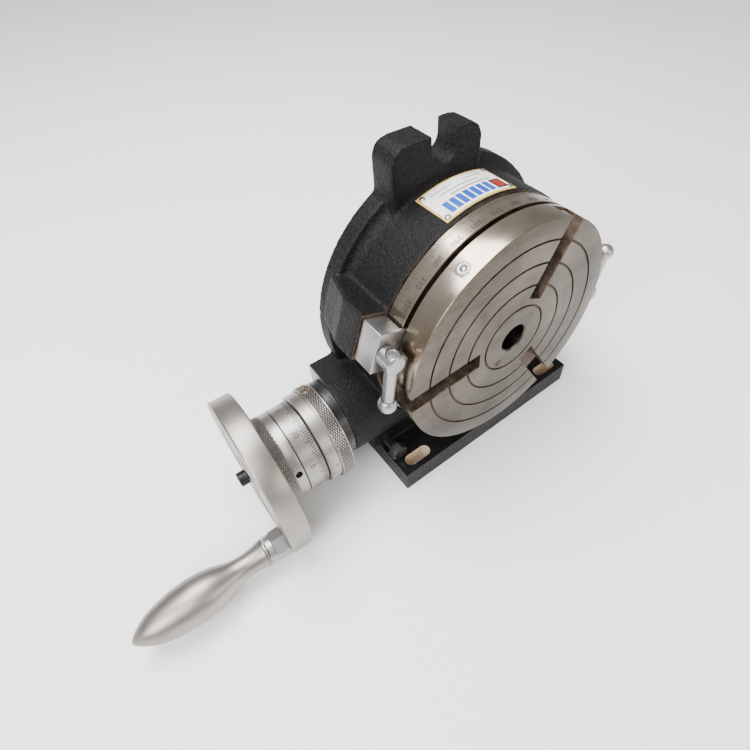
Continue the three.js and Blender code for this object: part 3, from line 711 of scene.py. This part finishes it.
def band_graduations():
    edge = -band_end + 0.5
    pieces = []
    for degree in range(360):
        angle = band_zero + degree
        length = 5.2 if degree % 10 == 0 else 4.3 if degree % 5 == 0 else 3.2
        pieces.append(tick(table_radius, angle, 0.34, edge, edge + length))
        if degree % 10 == 0:
            pieces.append(wrapped(str(degree), 4.4, table_radius, angle, -numeral_depth, 1))
    made = as_object(gathered(pieces))
    place(made, "band_graduations", MACHINE, [BAND_INK], "table")


# ---- base
lug_left, lug_right, lug_top, lug_depth, lug_corner = -38.5, 20.5, 100, 60, 9
lug_slot_x, lug_slot_half, lug_slot_floor = -5, 9, 83.5
flange_radius, flange_front = 82.6, 66
housing_end, housing_right, housing_radius = 96, 42, 26
web_half, web_top, web_front = 60, -30, 34
boss_half, boss_start = 14, 60
foot_front = 5  # depth of the foot's front face
foot_slot_x, foot_slot_depth, foot_slot_half, foot_slot_straight = 61, 13, 4, 5.5
extra = 1  # how far a shape runs past the face that trims it
sleeve_up = (sleeve_z - axis_z) / MM
sleeve_depth = depth_of(sleeve_y)
bolt = middle("sleeve_clamp_bolt")
bolt_x, bolt_up = bolt.x / MM, (bolt.z - axis_z) / MM
clamp_sides = ("left", "right")


def clamp_stud(side):
    """The stud's place in the machine frame, and its direction from the table's axis."""
    at = middle("clamp_screw_" + side)
    x, y = at.x / MM, (at.z - axis_z) / MM
    return x, y, math.degrees(math.atan2(y, x))


def along_sleeve(bm):
    """Lays a shape made round z on the sleeve's axis, with its z to the right."""
    return moved(bm, spin(90, "Y"), shift(0, sleeve_up, -sleeve_depth))


def lug():
    r, inside = lug_corner, 40
    outline = [(lug_left, inside), (lug_right, inside)]
    outline += arc(lug_right - r, lug_top - r, r, 0, 90, 8) + arc(lug_left + r, lug_top - r, r, 90, 180, 8)
    return prism(outline, -base_depth - extra, -lug_depth)


def clamp_boss(side):
    angle = clamp_stud(side)[2]
    front, back = body_front - extra, flange_front + 3
    outline = [(boss_start, -back), (84, -back), (88, -54), (91, -46), (91, -front), (boss_start, -front)]
    return moved(prism(outline, -boss_half, boss_half), spin(90, "X"), spin(angle, "Z"))


def housing():
    start, back = -housing_end - extra, base_depth - 1
    barrel = along_sleeve(disc(housing_radius, start, housing_right))
    square = block((start, sleeve_up - housing_radius, -back), (housing_right, -23, -sleeve_depth))
    pad = block((bolt_x - 10, floor_y + foot_top - 2, -back), (bolt_x + 13, sleeve_up, -web_front))
    return [barrel, square, pad]


def rounded_casting():
    """The whole casting, as overlapping shapes fused and smoothed like a sand casting."""
    back, corner = -base_depth - extra, 4
    flange = disc(flange_radius, back, -flange_front, 128)
    fillet = [(0, -flange_front - 3), (body_radius + corner, -flange_front - 1)]
    fillet += [(body_radius, -flange_front + corner), (0, -flange_front + corner)]
    body = disc(body_radius, -base_depth, -body_front + extra)
    foot_low, foot_high = (-foot_half - extra, floor_y - extra), (foot_half + extra, floor_y + foot_top)
    foot = block((*foot_low, back), (*foot_high, -foot_front + extra))
    web = block((-web_half, floor_y + foot_top - 3, back), (web_half, web_top, -web_front))
    pieces = [flange, turned(fillet), body, foot, web, lug()] + housing()
    made = as_object(gathered(pieces + [clamp_boss(side) for side in clamp_sides]))
    fuse = made.modifiers.new("fuse", "REMESH")
    fuse.mode = "VOXEL"
    fuse.voxel_size = 1.0
    soften = made.modifiers.new("soften", "SMOOTH")
    soften.factor = 0.5
    soften.iterations = 9
    apply_modifiers(made)
    outwards = [vert.normal.copy() for vert in made.data.vertices]
    swell, coarse, fine, share = 0.16, 0.35, 0.9, 0.6
    for vert, out in zip(made.data.vertices, outwards):
        vert.co += out * swell * (noise.noise(vert.co * coarse) + share * noise.noise(vert.co * fine))
    return made


def casting_envelope():
    """Trims the casting to its machined faces: back, underside, foot ends and housing end."""
    shoulder = floor_y + foot_top + 3
    right, top = 92.5, lug_top + extra
    outline = [(-foot_half, floor_y), (foot_half, floor_y), (foot_half, shoulder), (right, shoulder)]
    outline += [(right, top), (-housing_end, top), (-housing_end, shoulder), (-foot_half, shoulder)]
    return prism(outline, -base_depth, -foot_front)


def foot_slot(side):
    half, straight = foot_slot_half, foot_slot_straight
    outline = arc(straight, 0, half, -90, 90) + arc(-straight, 0, half, 90, 270)
    standing = moved(prism(outline, -5, 25), spin(-90, "X"))
    return moved(standing, shift(side * foot_slot_x, floor_y, -foot_slot_depth))


def lug_slot():
    centre, above = lug_slot_floor + lug_slot_half, lug_top + 10
    outline = arc(lug_slot_x, centre, lug_slot_half, 180, 360)
    outline += [(lug_slot_x + lug_slot_half, above), (lug_slot_x - lug_slot_half, above)]
    return prism(outline, -90, -35)


wheel_room, spindle_room, cover_room = (46, -57.5), (22.3, -70), (28.5, -80)  # radius and back
ring_seat, seat_back = (49.7, 68.3), -33.3  # where the thrust ring sits
sleeve_bore, bolt_hole, stud_hole = 19.3, 3.3, 5.3


def casting_cutters():
    clear, before = -20, -10
    cutters = [disc(body_radius + 1.5, -body_front, before, 192)]
    for side in clamp_sides:
        seat = block((boss_start, -17, -body_front), (95, 17, clear))
        cutters.append(moved(seat, spin(clamp_stud(side)[2], "Z")))
    cutters += [lug_slot(), foot_slot(-1), foot_slot(1)]
    cutters.append(disc(*wheel_room, clear))
    inner, outer = ring_seat
    cutters.append(turned([(inner, seat_back), (outer, seat_back), (outer, clear), (inner, clear)]))
    cutters += [disc(*spindle_room, -50), disc(*cover_room, -66.8)]
    cutters.append(along_sleeve(disc(sleeve_bore, -100, 35)))
    cutters.append(moved(disc(bolt_hole, -57.5, before, 32), shift(bolt_x, bolt_up, 0)))
    for side in clamp_sides:
        x, y, _ = clamp_stud(side)
        cutters.append(moved(disc(stud_hole, -48, before, 48), shift(x, y, 0)))
    return cutters


def base_casting():
    made = rounded_casting()
    combine(made, [casting_envelope()], "INTERSECT")
    combine(made, casting_cutters(), "DIFFERENCE")

    foot_face, square_on, near = floor_y + foot_top, 0.99, 0.05

    def on_foot(centre, normal):
        return centre.y < foot_face + 1.5 and abs(centre.x) < foot_half + extra

    def stained(centre, normal):
        inside = math.hypot(centre.x, centre.y) < 69.5 and centre.z > -57.6
        return inside or (normal.z > square_on and abs(centre.z + body_front) < near)

    def milled(centre, normal):
        end = normal.x < -square_on and centre.x < -housing_end + near
        back = normal.z < -square_on and centre.z < -base_depth + near
        under = normal.y < -square_on and centre.y < floor_y + near
        return end or back or under

    def in_foot_slot(centre, normal):
        lengthwise = abs(abs(centre.x) - foot_slot_x) < foot_slot_half + foot_slot_straight + 0.1
        across = abs(centre.z + foot_slot_depth) < foot_slot_half + 0.1
        return lengthwise and across and centre.y < foot_face - 0.8

    for index, test in enumerate((on_foot, stained, milled, in_foot_slot), 1):
        set_faces(made, index, test)
    finishes = [WRINKLE, SMOOTH_BLACK, BARE, MILLED, PRIMER]
    stand_in(made, "base_casting", MACHINE, finishes, "base", 38)


plate_from, plate_to = 75, 110.5
plate_front, plate_back = 31.6, 57
plate_radius = body_radius + 0.25
plate_top = plate_radius + 0.6
rivet_inset = 2.6


def curved_patch(start, end, front, back, low, high):
    """A patch that follows the body's round side, between two angles and two depths."""
    steps = max(2, round((end - start) / 1.2))
    outline = arc(0, 0, high, start, end, steps) + arc(0, 0, low, end, start, steps)
    return prism(outline, -back, -front)


def nameplate():
    sheet = as_object(curved_patch(plate_from, plate_to, plate_front, plate_back, plate_radius, plate_top))
    bevel(sheet, 0.12, 1)
    place(sheet, "nameplate_sheet", MACHINE, [GOLD], "base", ["nameplate"])
    turn, border = 0.9, 1.2  # the gold border's width, round the body and in depth
    angles, depths = (plate_from + turn, plate_to - turn), (plate_front + border, plate_back - border)
    field = as_object(curved_patch(*angles, *depths, plate_top - 0.2, plate_top + 0.04))
    place(field, "nameplate_field", MACHINE, [WHITE], "base")

    def printing(name, patches, finish):
        high = plate_top + (0.11 if finish is RED else 0.07)
        pieces = [curved_patch(*patch, plate_top - 0.1, high) for patch in patches]
        place(as_object(gathered(pieces)), name, MACHINE, [finish], "base")

    bars = [(83.6 + 3.3 * k, 86.1 + 3.3 * k, 34.6, 43.4) for k in range(7)]
    printing("nameplate_bars", bars, BLUE)
    printing("nameplate_frame", [(76.9, 82.4, 34.4, 43.6)], INK)
    printing("nameplate_square", [(77.7, 81.6, 35.6, 42.4)], RED)
    rules = [(80, 100, 45.2, 46), (84, 103, 48.4, 49.1), (95, 105.5, 51.8, 52.3), (80, 90, 51.8, 52.3)]
    printing("nameplate_rules", rules, GREY)


def nameplate_rivets():
    turn = math.degrees(rivet_inset / body_radius)
    depths = (plate_front + rivet_inset, plate_back - rivet_inset)
    places = [(angle, depth) for angle in (plate_from + turn, plate_to - turn) for depth in depths]
    profile = [(0, -3.8), (0.85, -3.8), (0.85, 1.1), (1.65, 1.1)]
    profile += [(1.6, 1.4), (1.2, 1.68), (0.6, 1.82), (0, 1.86)]
    for count, (angle, depth) in enumerate(places, 1):
        made = as_object(turned(profile, 24))
        matrix = MACHINE @ spin(angle, "Z") @ shift(body_radius - 0.05, 0, -depth) @ spin(90, "Y")
        stand_in(made, "nameplate_rivet_" + str(count), matrix, [STEEL], "base")


def sleeve_bolt():
    low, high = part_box("sleeve_clamp_bolt")
    head, flats, turn, shank_radius = 5.6, 10, 15, 3
    length = depth_of(high.y) - depth_of(low.y)
    made = as_object(prism(polygon(6, flats, turn), -head, 0))
    cone = turned([(0, -head - 1), (8, -head - 1), (8, -2.3), (4.6, 0.01), (0, 0.01)], 48)
    combine(made, [cone], "INTERSECT")
    combine(made, [disc(shank_radius, -length, -head + 1, 32)], "UNION")
    matrix = MACHINE @ shift(bolt_x, bolt_up, -depth_of(low.y))
    stand_in(made, "sleeve_clamp_bolt", matrix, [BLACKENED], "sleeve_bolt")


# ---- worm drive
collar_radius = extent("vernier_collar", Z) / 2
dial_radius = extent("dial", Z) / 2
hub_radius = extent("dial_carrier", Z) / 2
inner_radius = hub_radius + 0.3


def ring_profile(inner, sections, edge):
    """A ring's profile from (radius, start, end) sections, with a small chamfer at each end."""
    start, end = sections[0][1], sections[-1][2]
    outline = [(inner, start), (sections[0][0] - edge, start), (sections[0][0], start + edge)]
    for (radius, _, stop), (following, begin, _) in zip(sections, sections[1:]):
        outline += [(radius, stop), (following, begin)]
    return outline + [(sections[-1][0], end - edge), (sections[-1][0] - edge, end), (inner, end)]


def eccentric_sleeve():
    start, end = along("eccentric_sleeve")
    tube, flange = 19, extent("eccentric_sleeve", Z) / 2
    flange_start, flange_end, edge = 96.4, 102.5, 0.5
    outline = [(0, start), (tube, start), (tube, flange_start), (flange - edge, flange_start)]
    outline += [(flange, flange_start + edge), (flange, flange_end - edge)]
    made = as_object(turned(outline + [(flange - edge, flange_end), (0, flange_end)]))
    to_worm = WORM.inverted() @ SLEEVE
    made.data.transform(to_worm)
    combine(made, [disc(hub_radius, flange_end - edge, end)], "UNION")
    window = block((-40, -2, -31), (40, 60, 31))
    window.transform(to_worm @ spin(11, "Z") @ shift(0, 2, 0))
    bores = [disc(12.3, start + 8, end + 1), disc(8.2, start - 1, start + 9)]
    combine(made, bores + [window], "DIFFERENCE")
    stand_in(made, "eccentric_sleeve", WORM, [BLACKENED], "sleeve")


collar_groove = 111.8
vernier_turn, zero_turn = 8, 23.5
collar_screw_turn, collar_screw_z, ring_screw_z = 114, 108.5, 135.2
screw_inner = 21.5  # distance of both screws' inner ends from the worm's axis


def screw_seat(radius, angle, z):
    return moved(disc(radius, screw_inner - 0.3, 33, 32), spin(90, "Y"), shift(0, 0, z), spin(angle, "Z"))


def vernier_collar():
    start, end = along("vernier_collar")
    smooth, groove = collar_radius - 1.5, collar_groove
    sections = [(smooth + 0.7, start, start + 1.1), (smooth + 0.85, start + 1.3, groove - 1.2)]
    sections += [(smooth + 1, groove - 1, groove - 0.3), (smooth - 0.35, groove - 0.2, groove + 0.1)]
    sections += [(smooth, groove + 0.3, end)]
    made = as_object(turned(ring_profile(inner_radius, sections, 0.5), 160))
    combine(made, [screw_seat(2.3, collar_screw_turn, collar_screw_z)], "DIFFERENCE")
    stand_in(made, "vernier_collar", WORM, [SATIN], "sleeve")
    band = as_object(knurl(collar_radius, start + 1.3, groove - 1, 1.5))
    turn, cleared, sunk = math.radians(collar_screw_turn), 2.9, 1.2
    screw = Vector((collar_radius * math.cos(turn), collar_radius * math.sin(turn), collar_screw_z))
    for vert in band.data.vertices:
        if (vert.co - screw).length < cleared:
            vert.co.xy *= (collar_radius - sunk) / collar_radius
    place(band, "vernier_knurl", WORM, [KNURLED], "sleeve", sharp=10)
    edge = end - 0.4
    pieces = []
    for k in range(-5, 6):
        length = 2.6 if k % 2 == 0 else 1.8
        pieces.append(tick(smooth, vernier_turn - 3 * k, 0.36, edge - length, edge))
    pieces.append(wrapped("0", 3.2, smooth, vernier_turn, edge - 4.3, 1))
    place(as_object(gathered(pieces)), "vernier_marks", WORM, [INK], "sleeve")


def slotted_screw(name, angle, z, radius, outer, finish, body):
    edge, slot_half, slot_depth = 0.25, 0.4, 0.8
    profile = [(0, screw_inner), (radius, screw_inner), (radius, outer - edge)]
    made = as_object(turned(profile + [(radius - edge, outer), (0, outer)], 32))
    combine(made, [block((-4, -slot_half, outer - slot_depth), (4, slot_half, outer + 1))], "DIFFERENCE")
    matrix = WORM @ spin(angle, "Z") @ shift(0, 0, z) @ spin(90, "Y")
    stand_in(made, name, matrix, [finish], body)


def dial():
    start, end = along("dial")
    profile = ring_profile(inner_radius, [(dial_radius, start, end)], 0.3)
    stand_in(as_object(turned(profile, 160)), "dial", WORM, [SATIN], "dial")
    divisions, edge = 120, start + 0.4
    pieces = []
    for step in range(divisions):
        length = 4.6 if step % 5 == 0 else 3.1
        angle = zero_turn + step * 360 / divisions
        pieces.append(tick(dial_radius, angle, 0.52, edge, edge + length))
        if step % 15 == 0:
            half_turns = step // 15
            label = "30" if half_turns % 2 else str(half_turns // 2)
            pieces.append(wrapped(label, 4.6, dial_radius, angle, start + 7.6, -1))
    place(as_object(gathered(pieces)), "dial_marks", WORM, [INK], "dial")


def lock_ring():
    start, end = along("dial_lock_ring")
    sections = [(dial_radius, start, end - 6.1), (dial_radius - 0.1, end - 5.9, end)]
    made = as_object(turned(ring_profile(inner_radius, sections, 0.3), 160))
    combine(made, [screw_seat(2, zero_turn, ring_screw_z)], "DIFFERENCE")
    place(made, "lock_ring_detail", WORM, [SATIN], "lock_ring", ["dial_lock_ring"])
    band = as_object(knurl(dial_radius + 0.42, end - 6, end - 0.6, 1.3, 0.42))
    place(band, "lock_ring_knurl", WORM, [KNURLED], "lock_ring", sharp=10)


crank_hub, crank_tip = 47, 9.8  # radii of the round plate and of its tip
crank_start, crank_end = along("crank_arm")
pin = middle("handle_bolt")
pin_x, pin_y = (worm_y - pin.y) / MM, (pin.z - worm_z) / MM
crank_throw = math.hypot(pin_x, pin_y)
crank_turn = math.degrees(math.atan2(pin_y, pin_x))


def tear_outline(big, small, reach):
    """Two circles, reach apart, with the straight sides that touch both."""
    lean = math.degrees(math.acos((big - small) / reach))
    return arc(0, 0, big, lean, 360 - lean, 120) + arc(reach, 0, small, -lean, lean, 40)


def crank_arm():
    made = as_object(prism(tear_outline(crank_hub, crank_tip, crank_throw), crank_start, crank_end))
    bevel(made, 1.1, 3)
    shaft_hole, screw_hole, pin_hole, key_half, key_top = 7.3, 2.8, 4.3, 1.8, 8.9
    above, recess = crank_end + 1, crank_end - 0.5
    seat = disc(shaft_hole, crank_start - 1, crank_end - 4, 64)
    screw_way = disc(screw_hole, crank_start, above, 32)
    pin_way = moved(disc(pin_hole, crank_start + 2, above, 48), shift(crank_throw, 0, 0))
    keyway = block((0, -key_half, crank_start + 0.7), (key_top, key_half, crank_end - 4.7))
    keyway = moved(keyway, spin(90 - crank_turn, "Z"))
    facing = turned([(33, recess), (34, above), (12, above), (13, recess)])
    combine(made, [seat, screw_way, pin_way, keyway, facing], "DIFFERENCE")
    stand_in(made, "crank_arm", WORM @ spin(crank_turn, "Z"), [ALLOY], "worm")


def cap_screw():
    start, end = along("crank_cap_screw")
    head, radius = end - 5.4, 4.3
    profile = [(0, start), (2.5, start), (2.5, head), (radius - 0.2, head), (radius, head + 0.2)]
    profile += [(radius, end - 0.6), (radius - 0.6, end), (0, end)]
    made = as_object(turned(profile, 48))
    count, half, depth = 30, 0.16, 0.22
    cuts = []
    for k in range(count):
        groove = block((radius - depth, -half, head + 0.8), (radius + 1, half, end + 1))
        cuts.append(moved(groove, spin(k * 360 / count, "Z")))
    cuts.append(prism(polygon(6, 4), end - 2.8, end + 1))
    combine(made, cuts, "DIFFERENCE")
    stand_in(made, "crank_cap_screw", WORM, [BLACKENED], "worm")


handle_turn = WORM @ shift(pin_x, pin_y, 0)


def handle_bolt():
    start, end = along("handle_bolt")
    nut, seam, washer_end = crank_end + 0.3, 164.9, 168
    washer, shank, edge = 8.3, 4, 0.3
    made = as_object(prism(polygon(6, 15.2, 22), nut, seam - 0.1))
    cone = [(0, nut - 1), (9, nut - 1), (9, washer_end - 5), (7.7, seam), (0, seam)]
    combine(made, [turned(cone, 64)], "INTERSECT")
    outline = [(0, seam - edge), (washer - edge, seam - edge), (washer, seam), (washer, washer_end - edge)]
    outline += [(washer - edge, washer_end), (0, washer_end)]
    ends = [disc(shank, start, nut + 1, 48), disc(shank, washer_end - 1, end, 48)]
    combine(made, [turned(outline, 64)] + ends, "UNION")
    stand_in(made, "handle_bolt", handle_turn, [STEEL], "worm")


def smooth_curve(points, steps):
    """Points on a smooth line through the given ones."""

    def between(p, q, r, s, t):
        bend, twist = 2 * p - 5 * q + 4 * r - s, 3 * q - p - 3 * r + s
        return 0.5 * (2 * q + (r - p) * t + bend * t**2 + twist * t**3)

    padded = [points[0]] + points + [points[-1]]
    line = []
    for run in zip(padded, padded[1:], padded[2:], padded[3:]):
        for k in range(steps):
            line.append(tuple(between(*values, k / steps) for values in zip(*run)))
    return line + [points[-1]]


def handle_grip():
    start, end = along("handle_grip")
    stations = [(8.2, 1.8), (7.3, 5.2), (6.65, 9.8), (6.6, 13.8), (7.1, 18.8), (8.4, 23.3), (10.2, 28.3)]
    stations += [(11.6, 33.8), (12.3, 39.8), (12.4, 44.8), (12, 50.8), (11.2, 56.3), (10, 61.8), (8.4, 66.3)]
    stations += [(6.3, 70.1), (3.6, 73.8), (1.3, 75.9), (0.4, 76.1)]
    outer = [(r, start + z) for r, z in stations]
    bore, bore_end, neck = 4.3, start + 54.6, 8.2
    lip = [(bore, start), (7.9, start), (neck, start + 0.3), (neck, start + 1.2), (7.9, start + 1.4)]
    profile = lip + smooth_curve(outer, 4) + [(0, end), (0, bore_end), (bore, bore_end)]
    made = as_object(turned(profile, 96))
    stand_in(made, "handle_grip", handle_turn, [ALLOY], "grip", 40)


# ---- rim clamps
clamp_inner, clamp_outer, clamp_half = 76, 89.6, 12
clamp_front, clamp_back = 15.35, 29.6
lip_inner, lip_back = 72.3, 17.25
rod_depth, ball_start = 9, 31


def clamp_block(side):
    x, y, angle = clamp_stud(side)
    outline = [(lip_inner, -clamp_front), (lip_inner, -lip_back), (clamp_inner, -lip_back - 0.5)]
    outline += [(clamp_inner, -clamp_back), (clamp_outer, -clamp_back), (clamp_outer, -clamp_front)]
    made = as_object(moved(prism(outline, -clamp_half, clamp_half), spin(90, "X")))
    bevel(made, 0.55, 3)
    hole = moved(disc(stud_hole, -40, 0, 48), shift(math.hypot(x, y), 0, 0))
    combine(made, [hole], "DIFFERENCE")
    stand_in(made, "clamp_block_" + side, MACHINE @ spin(angle, "Z"), [STEEL], "base")


def clamp_lever(side):
    x, y, _ = clamp_stud(side)
    ball = middle("clamp_ball_" + side)
    across, up = ball.x / MM - x, (ball.z - axis_z) / MM - y
    matrix = MACHINE @ shift(x, y, 0) @ spin(math.degrees(math.atan2(up, across)), "Z")

    def lever_piece(name, made):
        stand_in(made, name + "_" + side, matrix, [STEEL], "clamp_lever_" + side)

    def laid(bm):
        return moved(bm, spin(90, "Y"), shift(0, 0, -rod_depth))

    back, front, radius = 15.2, 4.5, 5.5
    stud, end, edge = 5, 46, 0.4
    screw = [(0, -end), (stud - edge, -end), (stud, -end + edge), (stud, -back), (radius - edge, -back)]
    screw += [(radius, -back + edge), (radius, -front - 0.9), (radius - 0.9, -front), (0, -front)]
    head = as_object(turned(screw, 64))
    combine(head, [laid(disc(3.7, -20, 20, 48))], "DIFFERENCE")
    lever_piece("clamp_screw", head)
    rod = [(0, -5.3), (1.5, -5.3), (1.7, -5), (2.2, -5), (2.4, -5.3), (3.1, -5.3), (3.4, -5), (3.4, 29.5)]
    lever_piece("clamp_rod", as_object(laid(turned(rod + [(0, 29.5)], 48))))
    knob = [(3.75, -3.8), (4.3, -3.1), (4.9, -2), (5.25, -0.7), (5.3, 0.4), (5.05, 1.6), (4.5, 2.8)]
    knob += [(3.6, 3.9), (2.4, 4.75), (1.2, 5.2), (0, 5.3), (0, 0), (3.75, 0)]
    lever_piece("clamp_ball", as_object(laid(moved(turned(knob, 48), shift(0, 0, ball_start)))))


# ---- CAD nodes that stay
def finish_kept_nodes():
    finishes = {"bronze": BRONZE, "steel": STEEL, "black_steel": BLACKENED}
    slots = {part["node"]: part["material_slot"] for part in frame["record"]["subparts"]}
    for name, node in frame["nodes"].items():
        if slots[name] in finishes:
            node.data.materials.clear()
            node.data.materials.append(finishes[slots[name]])


# ---- stage
floor_half = 5
sky_colour, sky_strength = (1, 0.99, 0.97, 1), 0.5
lit_place = Vector((0, 0, 0.08))


def stage():
    floor = bmesh.new()
    bmesh.ops.create_grid(floor, x_segments=8, y_segments=8, size=floor_half)
    made = as_object(floor, "floor")
    made.data.materials.append(floor_paper())
    world = bpy.data.worlds.new("studio")
    world.use_nodes = True
    sky = world.node_tree.nodes["Background"]
    sky.inputs["Color"].default_value = sky_colour
    sky.inputs["Strength"].default_value = sky_strength
    scene.world = world


def soft_light(name, at, size, power, colour=(1, 1, 1)):
    lamp = bpy.data.lights.new(name, "AREA")
    lamp.shape = "RECTANGLE"
    lamp.size, lamp.size_y = size
    lamp.energy = power
    lamp.color = colour
    made = bpy.data.objects.new(name, lamp)
    made.location = at
    made.rotation_euler = (lit_place - made.location).to_track_quat("-Z", "Y").to_euler()
    scene.collection.objects.link(made)


def sunlight(strength, spread, azimuth, elevation):
    lamp = bpy.data.lights.new("window", "SUN")
    lamp.energy = strength
    lamp.angle = math.radians(spread)
    made = bpy.data.objects.new("window", lamp)
    made.rotation_euler = (math.radians(90 - elevation), 0, math.radians(azimuth))
    scene.collection.objects.link(made)


def lights():
    sunlight(1.5, 35, -40, 55)
    soft_light("overhead", Vector((-0.2, 0.25, 1.1)), (0.8, 0.6), 24)
    soft_light("left", Vector((-1.0, -0.35, 0.75)), (0.6, 0.7), 14)
    soft_light("front", Vector((0.35, -1.1, 0.6)), (0.6, 0.5), 5, (1, 0.93, 0.85))


camera_azimuth, camera_elevation, camera_roll = -38.149, 47.770, -0.283
camera_place = Vector((-0.16739, -0.16545, 0.3106))
camera_lens, sensor = 24.195, 36
camera_shift = (-0.0587, -0.0314)


def camera():
    a, e = math.radians(camera_azimuth), math.radians(camera_elevation)
    back = Vector((math.sin(a) * math.cos(e), -math.cos(a) * math.cos(e), math.sin(e)))
    right = Vector((math.cos(a), math.sin(a), 0))
    up = back.cross(right)
    turn = Matrix((right, up, back)).transposed().to_4x4() @ spin(camera_roll, "Z")
    lens = bpy.data.cameras.new("view")
    lens.lens = camera_lens
    lens.sensor_width = sensor
    lens.shift_x, lens.shift_y = camera_shift
    lens.clip_start = 0.01
    made = bpy.data.objects.new("view", lens)
    made.matrix_world = Matrix.Translation(camera_place) @ turn
    scene.collection.objects.link(made)
    scene.camera = made


# ---- the whole
table_platen()
table_oilers()
band_graduations()
base_casting()
nameplate()
nameplate_rivets()
sleeve_bolt()
eccentric_sleeve()
vernier_collar()
slotted_screw("vernier_screw", collar_screw_turn, collar_screw_z, 2, 29.4, BRONZE, "sleeve")
dial()
lock_ring()
slotted_screw("lock_ring_screw", zero_turn, ring_screw_z, 1.7, 24.4, BLACKENED, "lock_ring")
crank_arm()
cap_screw()
handle_bolt()
handle_grip()
for clamp_side in clamp_sides:
    clamp_block(clamp_side)
    clamp_lever(clamp_side)
finish_kept_nodes()
stage()
lights()
camera()
